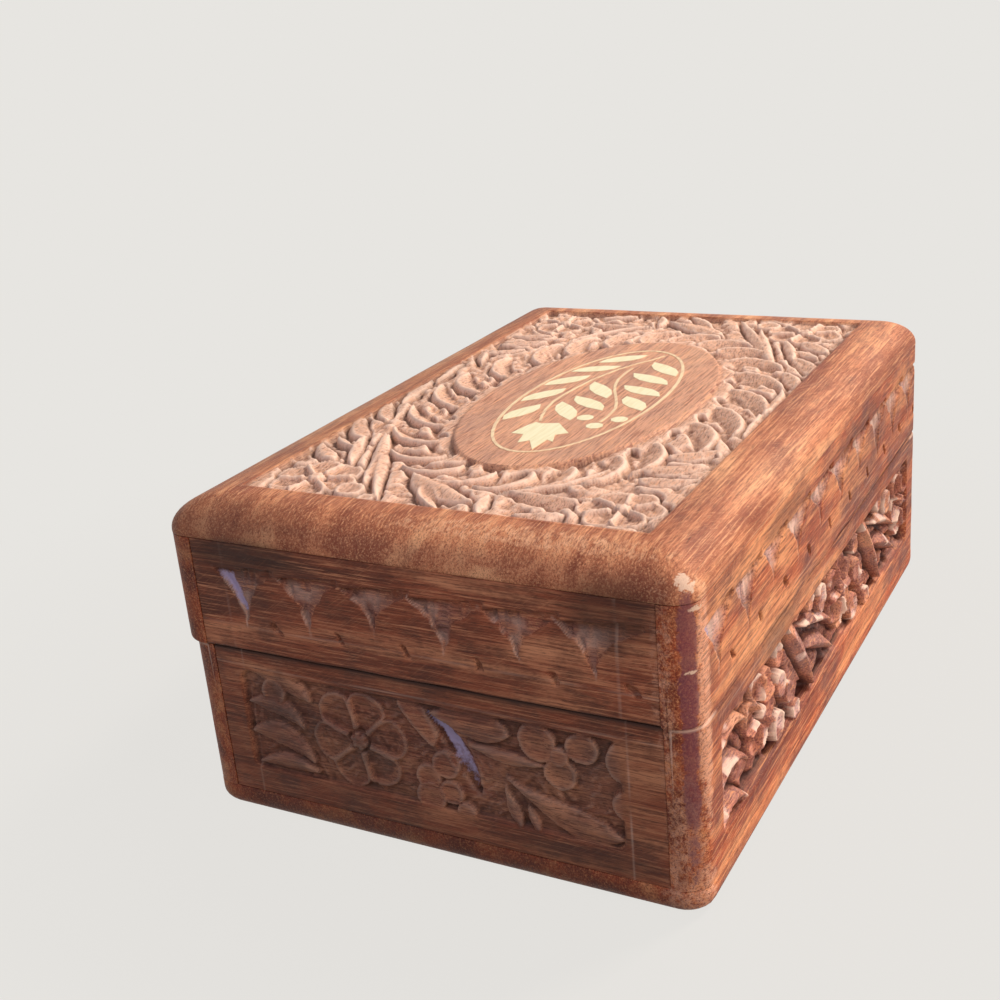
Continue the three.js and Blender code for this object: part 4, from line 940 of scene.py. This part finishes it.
def sheesham(name, dark, body, pale, raw, grain_turn, scuff_turn, scuffs, cut, wax_and_shade):
    """Sheesham, an Indian rosewood, planed, carved by hand, stained and waxed. The eye sees short dark
    and pale fibres along the grain, fine scuffs across them, by the share scuffs, soft blotches, dark
    wax and painted shade in the hollows, by their share, and paler wood where it was cut, by the share
    cut, partly a painted highlight on the scallops' floors, and along crests, from wear and a painted
    highlight. Painted highlight lines, painted violet and lavender reflections and painted shade in
    the stains lie over it."""
    material, tree, output = new_material(name)
    place = add(tree, "ShaderNodeTexCoord").outputs["Object"]
    grain = add(tree, "ShaderNodeMapping", {"Vector": place, "Rotation": grain_turn}).outputs["Vector"]
    slant = add(tree, "ShaderNodeMapping", {"Vector": place, "Rotation": scuff_turn}).outputs["Vector"]
    deep = [0.3 * c for c in dark[:3]] + [1.0]

    def pattern(vector, length, width, detail, roughness=0.5, distortion=0.0):
        per_metre = (1 / (length * MM), 1 / (width * MM), 1 / (width * MM))
        stretched = add(tree, "ShaderNodeVectorMath", {0: vector, 1: per_metre}, operation="MULTIPLY")
        return noise_of(tree, stretched.outputs[0], 1.0, detail, roughness, distortion)

    def mark(attribute):
        return add(tree, "ShaderNodeAttribute", attribute_name=attribute).outputs["Fac"]

    def ramp(value, *stops):
        grey = [(share, (level, level, level, 1.0)) for share, level in stops]
        return add(tree, "ShaderNodeValToRGB", {"Fac": value}, stops=grey).outputs["Color"]

    def mixed(factor, a, b):
        inputs = {MIX_FACTOR: factor, MIX_A: a, MIX_B: b}
        return add(tree, "ShaderNodeMix", inputs, data_type="RGBA").outputs[MIX_RESULT]

    def scaled(value, factor, offset=0.0):
        inputs = {0: value, 1: factor, 2: offset}
        return add(tree, "ShaderNodeMath", inputs, operation="MULTIPLY_ADD").outputs[0]

    figure = pattern(grain, 60.0, 8.0, 4.0, 0.6, 0.5)
    fibre = pattern(grain, 12.0, 0.38, 5.0, 0.75, 0.3)
    hair = pattern(grain, 3.4, 0.18, 3.0, 0.7)
    scuff = pattern(slant, 7.0, 0.26, 4.0, 0.7)
    blotch = pattern(place, 13.0, 9.0, 4.0, 0.65)
    crumble = pattern(place, 1.5, 1.2, 4.0, 0.7)

    def ragged(value, soft=0.08):
        broken = add(tree, "ShaderNodeMath", {0: scaled(crumble, 2.2, -1.1), 1: value}, operation="ADD")
        patches = ramp(broken.outputs[0], (0.5 - soft, 0.0), (0.5 + soft, 1.0))
        near = ramp(value, (0.02, 0.0), (0.25, 1.0))
        return add(tree, "ShaderNodeMath", {0: patches, 1: near}, operation="MULTIPLY").outputs[0]

    tones = [(0.34, dark), (0.5, body), (0.66, pale)]
    tone = add(tree, "ShaderNodeValToRGB", {"Fac": figure}, stops=tones).outputs["Color"]
    colour = mixed(ramp(blotch, (0.36, 0.75), (0.54, 0.0)), tone, dark)
    # Cut wood, which on the scallops' floors and a vine's left margin is partly a painted highlight.
    colour = mixed(scaled(mark("carved"), cut), colour, raw)
    colour = mixed(scaled(ragged(mark("rubbed"), 0.25), 0.9), colour, mixed(0.3, pale, raw))
    colour = mixed(ramp(fibre, (0.38, 0.8), (0.49, 0.0)), colour, dark)
    colour = mixed(ramp(fibre, (0.52, 0.0), (0.64, 0.8)), colour, pale)
    colour = mixed(ramp(hair, (0.36, 0.65), (0.45, 0.0)), colour, deep)
    colour = mixed(ramp(scuff, (0.54, 0.0), (0.68, scuffs)), colour, pale)
    # Worn crests, with a painted highlight on them.
    colour = mixed(scaled(mark("crest"), cut), colour, linear(CREST_PALE))
    # Dark wax and painted shade in the hollows, and painted shadow along the parting line.
    colour = mixed(scaled(mark("hollow"), wax_and_shade), colour, deep)
    # A painted violet reflection on the near corner.
    colour = mixed(scaled(ragged(mark("polished"), 0.2), 0.7), colour, linear(REFLECTION_VIOLET))
    # Stains, and painted shade over the base's end walls.
    colour = mixed(scaled(mark("stained"), 0.85), colour, [0.4 * c for c in deep[:3]] + [1.0])
    # Guide lines, and painted highlight lines along the scallops' edges and the base's rim.
    colour = mixed(scaled(mark("scribed"), 0.75), colour, linear(CREST_PALE))
    colour = mixed(scaled(ragged(mark("glint"), 0.3), 0.8), colour, linear(GLINT_LAVENDER))
    colour = mixed(scaled(ragged(mark("bare")), 0.9), colour, linear(BARE_CREAM))
    roughness = scaled(ramp(blotch, (0.3, 0.0), (0.7, 1.0)), 0.16, 0.44)
    relief = add(tree, "ShaderNodeMath", {0: scaled(fibre, 0.8), 1: hair}, operation="ADD").outputs[0]
    relief = add(tree, "ShaderNodeMath", {0: scaled(scuff, -0.5), 1: relief}, operation="ADD").outputs[0]
    surface = {"Base Color": colour, "Roughness": roughness}
    surface |= {"IOR": 1.45, "Specular IOR Level": 0.3}
    cover(tree, output, relief, 0.6, 0.15, surface)
    return material


def inlay_metal(name, colour, dull, metallic):
    """Sheet brass or wire, cut by hand and sanded flush: pale, with fine sanding lines and soft gloss,
    and duller where dirt has stayed."""
    material, tree, output = new_material(name)
    place = add(tree, "ShaderNodeTexCoord").outputs["Object"]
    sanding = {"Vector": place, "Rotation": (0.0, 0.0, 0.5), "Scale": (200.0, 3000.0, 1000.0)}
    stretched = add(tree, "ShaderNodeMapping", sanding).outputs[0]
    lines = noise_of(tree, stretched, 1.0, 3.0)
    tone = add(tree, "ShaderNodeValToRGB", {"Fac": lines}, stops=[(0.3, dull), (0.6, colour)])
    surface = {"Base Color": tone.outputs["Color"], "Metallic": metallic, "Roughness": 0.42}
    cover(tree, output, lines, 0.2, 0.05, surface)
    return material


def hinge_brass(name, colour):
    """Rolled brass, tumbled and a little tarnished: warm yellow, duller brown in patches."""
    material, tree, output = new_material(name)
    place = add(tree, "ShaderNodeTexCoord").outputs["Object"]
    patches = noise_of(tree, place, 400.0, 4.0)
    stops = [(0.35, linear(TARNISH_BROWN)), (0.6, colour)]
    tone = add(tree, "ShaderNodeValToRGB", {"Fac": patches}, stops=stops)
    inputs = {0: patches, 1: -0.3, 2: 0.5}
    rough = add(tree, "ShaderNodeMath", inputs, operation="MULTIPLY_ADD").outputs[0]
    surface = {"Base Color": tone.outputs["Color"], "Metallic": 1.0, "Roughness": rough}
    cover(tree, output, patches, 0.2, 0.05, surface)
    return material


def velvet(name, colour):
    """Cotton velvet: a short pile that looks brighter at a slant, in patches where it has been brushed.
    The pile's tufts are drawn 0.4 mm wide, coarser than real ones, so that they show."""
    material, tree, output = new_material(name)
    place = add(tree, "ShaderNodeTexCoord").outputs["Object"]
    brushed = noise_of(tree, place, 90.0, 2.0)
    pile = noise_of(tree, place, 2500.0, 2.0)
    shade = [0.6 * c for c in colour]
    tone = add(tree, "ShaderNodeValToRGB", {"Fac": brushed}, stops=[(0.35, shade), (0.65, colour)])
    surface = {"Base Color": tone.outputs["Color"], "Roughness": 0.95}
    surface |= {"Sheen Weight": 0.8, "Sheen Roughness": 0.4, "Sheen Tint": linear(SHEEN_PINK)}
    cover(tree, output, pile, 0.6, 0.2, surface)
    return material


# Settings


def length_of(name, description, millimetres):
    """A length that can be changed in the panel."""
    kind = {"unit": "LENGTH", "subtype": "DISTANCE"}
    return FloatProperty(name=name, description=description, default=millimetres * MM, **kind)


def colour_of(name, description, colour):
    """A colour that can be changed in the panel, from its sRGB hex value."""
    return FloatVectorProperty(
        name=name, description=description, subtype="COLOR", size=4, default=linear(colour)
    )


class CarvingSizes(PropertyGroup):
    """How deep the carving goes."""

    top_depth: length_of("Lid field", "Depth of the ground on the lid", 2.2)
    vine_depth: length_of("Vine", "Depth of the ground in the base's long walls", 3.2)
    spray_depth: length_of("Sprays", "Depth of the ground in the base's end walls", 2.1)
    end_scallop_depth: length_of("End scallops", "Depth of the cuts in the lid's end walls", 1.6)
    long_scallop_depth: length_of("Long scallops", "Depth of the cuts in the lid's long walls", 2.3)


class WoodColours(PropertyGroup):
    """Colours of the wood and of what is let into it."""

    top_dark: colour_of("Lid dark", "Dark fibres of the top board", "#8e4a33")
    top_body: colour_of("Lid body", "Body colour of the top board", "#d08660")
    top_pale: colour_of("Lid pale", "Pale fibres of the top board", "#f8b98a")
    top_raw: colour_of("Lid cut", "Cut wood of the top board", "#f0c8b0")
    side_dark: colour_of("Side dark", "Dark fibres of the long walls", "#6a281a")
    side_body: colour_of("Side body", "Body colour of the long walls", "#bc5c38")
    side_pale: colour_of("Side pale", "Pale fibres of the long walls", "#f6ac78")
    side_raw: colour_of("Side cut", "Cut wood of the long walls", "#f4d2d0")
    end_dark: colour_of("End dark", "Dark fibres of the end walls", "#5c2c1c")
    end_body: colour_of("End body", "Body colour of the end walls", "#a45a3e")
    end_pale: colour_of("End pale", "Pale fibres of the end walls", "#e09c74")
    end_raw: colour_of("End cut", "Cut wood of the end walls", "#c8a49c")
    inlay: colour_of("Inlay", "Metal let into the lid", "#fffbd6")
    wire: colour_of("Inlay wire", "Thin wire of the inlay", "#fbe6bc")
    brass: colour_of("Hinges", "Brass of the hinges", "#c9a45c")
    lining: colour_of("Lining", "Velvet linings", "#6a1422")


class StudioSettings(PropertyGroup):
    """The camera, the floor and the backdrop."""

    lens: FloatProperty(name="Lens", description="Focal length on a 36 mm sensor, in mm", default=50.418)
    backdrop: colour_of("Backdrop", "Colour behind and under the box", "#e7e5e1")


# Operators


def finish_piece(piece, body, slot, material, *nodes):
    """Gives a piece its material and body, and lets it stand for the nodes. The slot is not used."""
    piece.data.materials.clear()
    piece.data.materials.append(material)
    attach(piece, body)
    if nodes:
        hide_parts(*nodes)


def wood_of(colours, part, grain_turn, scuff_turn, scuffs, cut, wax_and_shade):
    """The wood of one part of the box, with the colours set for it."""
    tones = [list(getattr(colours, f"{part}_{tone}")) for tone in ("dark", "body", "pale", "raw")]
    return sheesham(f"{part}_wood", *tones, grain_turn, scuff_turn, scuffs, cut, wax_and_shade)


class JEWELBOX_OT_top_board(Operator):
    """Make the carved top board of the lid"""

    bl_idname = "jewelbox.top_board"
    bl_label = "Top board"

    def execute(self, context):
        scene = context.scene
        piece = top_board("carved_top_board", scene.jewelbox_carving.top_depth / MM)
        wood = wood_of(scene.jewelbox_colours, "top", ALONG_X, ACROSS_TOP, 0.5, 0.85, 0.65)
        finish_piece(piece, "lid", "top_wood", wood, "lid_top_board")
        return {"FINISHED"}


class JEWELBOX_OT_walls(Operator):
    """Make the carved walls of the base and of the lid"""

    bl_idname = "jewelbox.walls"
    bl_label = "Walls"

    def execute(self, context):
        scene = context.scene
        sizes, colours = scene.jewelbox_carving, scene.jewelbox_colours
        side = wood_of(colours, "side", ALONG_X, RISING_X, 0.45, 0.9, 1.0)
        end = wood_of(colours, "end", ALONG_Y, RISING_Y, 0.2, 0.35, 0.9)
        kinds = [
            # wood, slot, carving of the base's wall and its depth, depth of the lid's scallops
            (side, "side_wood", carve_long_panel, sizes.vine_depth, sizes.long_scallop_depth),
            (end, "end_wood", carve_end_panel, sizes.spray_depth, sizes.end_scallop_depth),
        ]
        for quarter, place in enumerate(("front", "right", "back", "left")):
            wood, slot, carve, depth, scallop_depth = kinds[quarter % 2]
            parts = [("base", carve, depth), ("lid", carve_scallops, scallop_depth)]
            for body, carve, depth in parts:
                node = f"{body}_{place}_wall"
                hangs, hinged = body == "lid", place == "back"
                piece = wall(f"carved_{node}", node, quarter, carve, depth / MM, hangs, hinged)
                finish_piece(piece, body, slot, wood, node)
        foot = bottom_board("rounded_bottom_board")
        finish_piece(foot, "base", "side_wood", side, "bottom_board")
        return {"FINISHED"}


class JEWELBOX_OT_metal(Operator):
    """Finish the inlay, the hinges and their screws"""

    bl_idname = "jewelbox.metal"
    bl_label = "Inlay and hinges"

    def execute(self, context):
        colours = context.scene.jewelbox_colours
        inlay = inlay_metal("inlay_sheet", list(colours.inlay), linear("#f4eabc"), 0.25)
        wire = inlay_metal("inlay_wire", list(colours.wire), linear("#e0b894"), 0.2)
        brass = hinge_brass("hinge_brass", list(colours.brass))
        for name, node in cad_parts.items():
            if name.startswith(("inlay_ring", "inlay_stem")):
                metal = wire
            elif name.startswith("inlay_"):
                metal = inlay
            elif "_hinge_" in name:
                metal = brass
            else:
                continue
            node.data.materials.clear()
            node.data.materials.append(metal)
        return {"FINISHED"}


class JEWELBOX_OT_linings(Operator):
    """Make the velvet linings"""

    bl_idname = "jewelbox.linings"
    bl_label = "Linings"

    def execute(self, context):
        cloth = velvet("lining_velvet", list(context.scene.jewelbox_colours.lining))
        linings = [
            # body, is the pile above, how it is held, what carries it
            ("base", True, "laid", "rounded_bottom_board"),
            ("lid", False, "stretched", "carved_top_board"),
        ]
        for body, pile_above, held, carrier in linings:
            node = f"{body}_lining"
            piece = velvet_sheet(f"velvet_{node}", node, pile_above)
            finish_piece(piece, body, "lining_velvet", cloth, node)
        return {"FINISHED"}


CAMERA_PLACE = (-249.92, -119.02, 148.88)
CAMERA_RIGHT = (0.46491769, -0.88132728, -0.08434319)
CAMERA_UP = (0.35722556, 0.09956721, 0.928696)
CAMERA_BACK = (-0.81008731, -0.46189674, 0.36112319)


class JEWELBOX_OT_stage(Operator):
    """Make the floor, the lamps, the world and the camera"""

    bl_idname = "jewelbox.stage"
    bl_label = "Stage"

    def execute(self, context):
        scene = context.scene
        studio = scene.jewelbox_studio
        scene.view_settings.view_transform = "Standard"
        self.make_camera(scene, studio)
        self.make_floor(scene, studio)
        self.make_world(scene, studio)
        lamps = [
            # name, place in metres, power in watts, size in metres, colour
            ("key", (0.84, -0.56, 0.98), 17.0, 0.3, "#fff1e2"),
            ("fill", (-0.13, -1.24, 0.39), 7.8, 0.7, "#ffe8da"),
            ("window", (-0.83, 0.28, 0.83), 1.8, 0.5, "#cfd2ff"),
        ]
        for name, place, power, size, colour in lamps:
            lamp = bpy.data.lights.new(name, "AREA")
            lamp.energy, lamp.size = power, size
            lamp.color = linear(colour)[:3]
            holder = bpy.data.objects.new(name, lamp)
            holder.location = place
            from_box = Vector(place) - Vector((0.0, 0.0, 0.03))
            holder.rotation_euler = from_box.to_track_quat("Z", "Y").to_euler()
            scene.collection.objects.link(holder)
        return {"FINISHED"}

    def make_camera(self, scene, studio):
        camera = bpy.data.cameras.new("camera")
        camera.lens = studio.lens
        camera.sensor_width = 36.0
        camera.clip_start = 0.01
        holder = bpy.data.objects.new("camera", camera)
        turn = Matrix((CAMERA_RIGHT, CAMERA_UP, CAMERA_BACK)).transposed()
        holder.matrix_world = Matrix.Translation(Vector(CAMERA_PLACE) * MM) @ turn.to_4x4()
        scene.collection.objects.link(holder)
        scene.camera = holder

    def make_floor(self, scene, studio):
        reach = 6.0
        corners = [(-reach, -reach, 0.0), (reach, -reach, 0.0), (reach, reach, 0.0), (-reach, reach, 0.0)]
        mesh = bpy.data.meshes.new("floor")
        mesh.from_pydata(corners, [], [(0, 1, 2, 3)])
        floor = bpy.data.objects.new("floor", mesh)
        scene.collection.objects.link(floor)
        material, tree, output = new_material("floor_paper")
        seen, camera_ray = self.seen_rays(tree)
        tones = {MIX_FACTOR: camera_ray, MIX_A: linear("#959390"), MIX_B: linear("#cfcdca")}
        tone = add(tree, "ShaderNodeMix", tones, data_type="RGBA").outputs[MIX_RESULT]
        matte = add(tree, "ShaderNodeBsdfDiffuse", {"Color": tone})
        glow = add(tree, "ShaderNodeEmission", {"Color": list(studio.backdrop), "Strength": 1.0})
        place = add(tree, "ShaderNodeTexCoord").outputs["Object"]
        away = add(tree, "ShaderNodeVectorMath", {0: place}, operation="LENGTH").outputs["Value"]
        fade = {"Value": away, "From Min": 0.1, "From Max": 0.2, "To Min": 0.93, "To Max": 1.0}
        share = add(tree, "ShaderNodeMapRange", fade).outputs[0]
        share = add(tree, "ShaderNodeMath", {0: seen, 1: share}, operation="MULTIPLY").outputs[0]
        both = add(tree, "ShaderNodeMixShader", {0: share, 1: matte.outputs[0], 2: glow.outputs[0]})
        tree.links.new(both.outputs[0], output.inputs["Surface"])
        mesh.materials.append(material)

    def seen_rays(self, tree):
        """Which rays see the backdrop: camera, glossy and transmission rays, and camera rays alone."""
        rays = add(tree, "ShaderNodeLightPath").outputs
        seen = rays["Is Camera Ray"]
        for kind in ("Is Glossy Ray", "Is Transmission Ray"):
            seen = add(tree, "ShaderNodeMath", {0: seen, 1: rays[kind]}, operation="MAXIMUM").outputs[0]
        return seen, rays["Is Camera Ray"]

    def make_world(self, scene, studio):
        world = bpy.data.worlds.new("studio")
        world.use_nodes = True
        tree = world.node_tree
        tree.nodes.clear()
        output = add(tree, "ShaderNodeOutputWorld")
        ambient = add(tree, "ShaderNodeBackground", {"Color": linear("#fff4ee"), "Strength": 0.32})
        pale = add(tree, "ShaderNodeBackground", {"Color": list(studio.backdrop), "Strength": 1.0})
        seen, _ = self.seen_rays(tree)
        both = add(tree, "ShaderNodeMixShader", {0: seen, 1: ambient.outputs[0], 2: pale.outputs[0]})
        tree.links.new(both.outputs[0], output.inputs["Surface"])
        scene.world = world


class JEWELBOX_PT_panel(Panel):
    """Lists the steps that build the box"""

    bl_idname = "JEWELBOX_PT_panel"
    bl_label = "Jewelry box"
    bl_space_type = "VIEW_3D"
    bl_region_type = "UI"
    bl_category = "Jewelry box"

    def draw(self, context):
        for operator in OPERATORS:
            self.layout.operator(operator.bl_idname)


OPERATORS = (
    JEWELBOX_OT_stage,
    JEWELBOX_OT_walls,
    JEWELBOX_OT_top_board,
    JEWELBOX_OT_metal,
    JEWELBOX_OT_linings,
)
SETTINGS = {
    "jewelbox_carving": CarvingSizes,
    "jewelbox_colours": WoodColours,
    "jewelbox_studio": StudioSettings,
}


def register():
    for group in SETTINGS.values():
        bpy.utils.register_class(group)
    for name, group in SETTINGS.items():
        setattr(bpy.types.Scene, name, PointerProperty(type=group))
    for operator in OPERATORS:
        bpy.utils.register_class(operator)
    bpy.utils.register_class(JEWELBOX_PT_panel)


def unregister():
    bpy.utils.unregister_class(JEWELBOX_PT_panel)
    for operator in reversed(OPERATORS):
        bpy.utils.unregister_class(operator)
    for name in SETTINGS:
        delattr(bpy.types.Scene, name)
    for group in reversed(list(SETTINGS.values())):
        bpy.utils.unregister_class(group)


def main():
    """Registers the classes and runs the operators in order."""
    register()
    for operator in OPERATORS:
        group, call = operator.bl_idname.split(".")
        getattr(getattr(bpy.ops, group), call)()


if __name__ == "__main__":
    main()
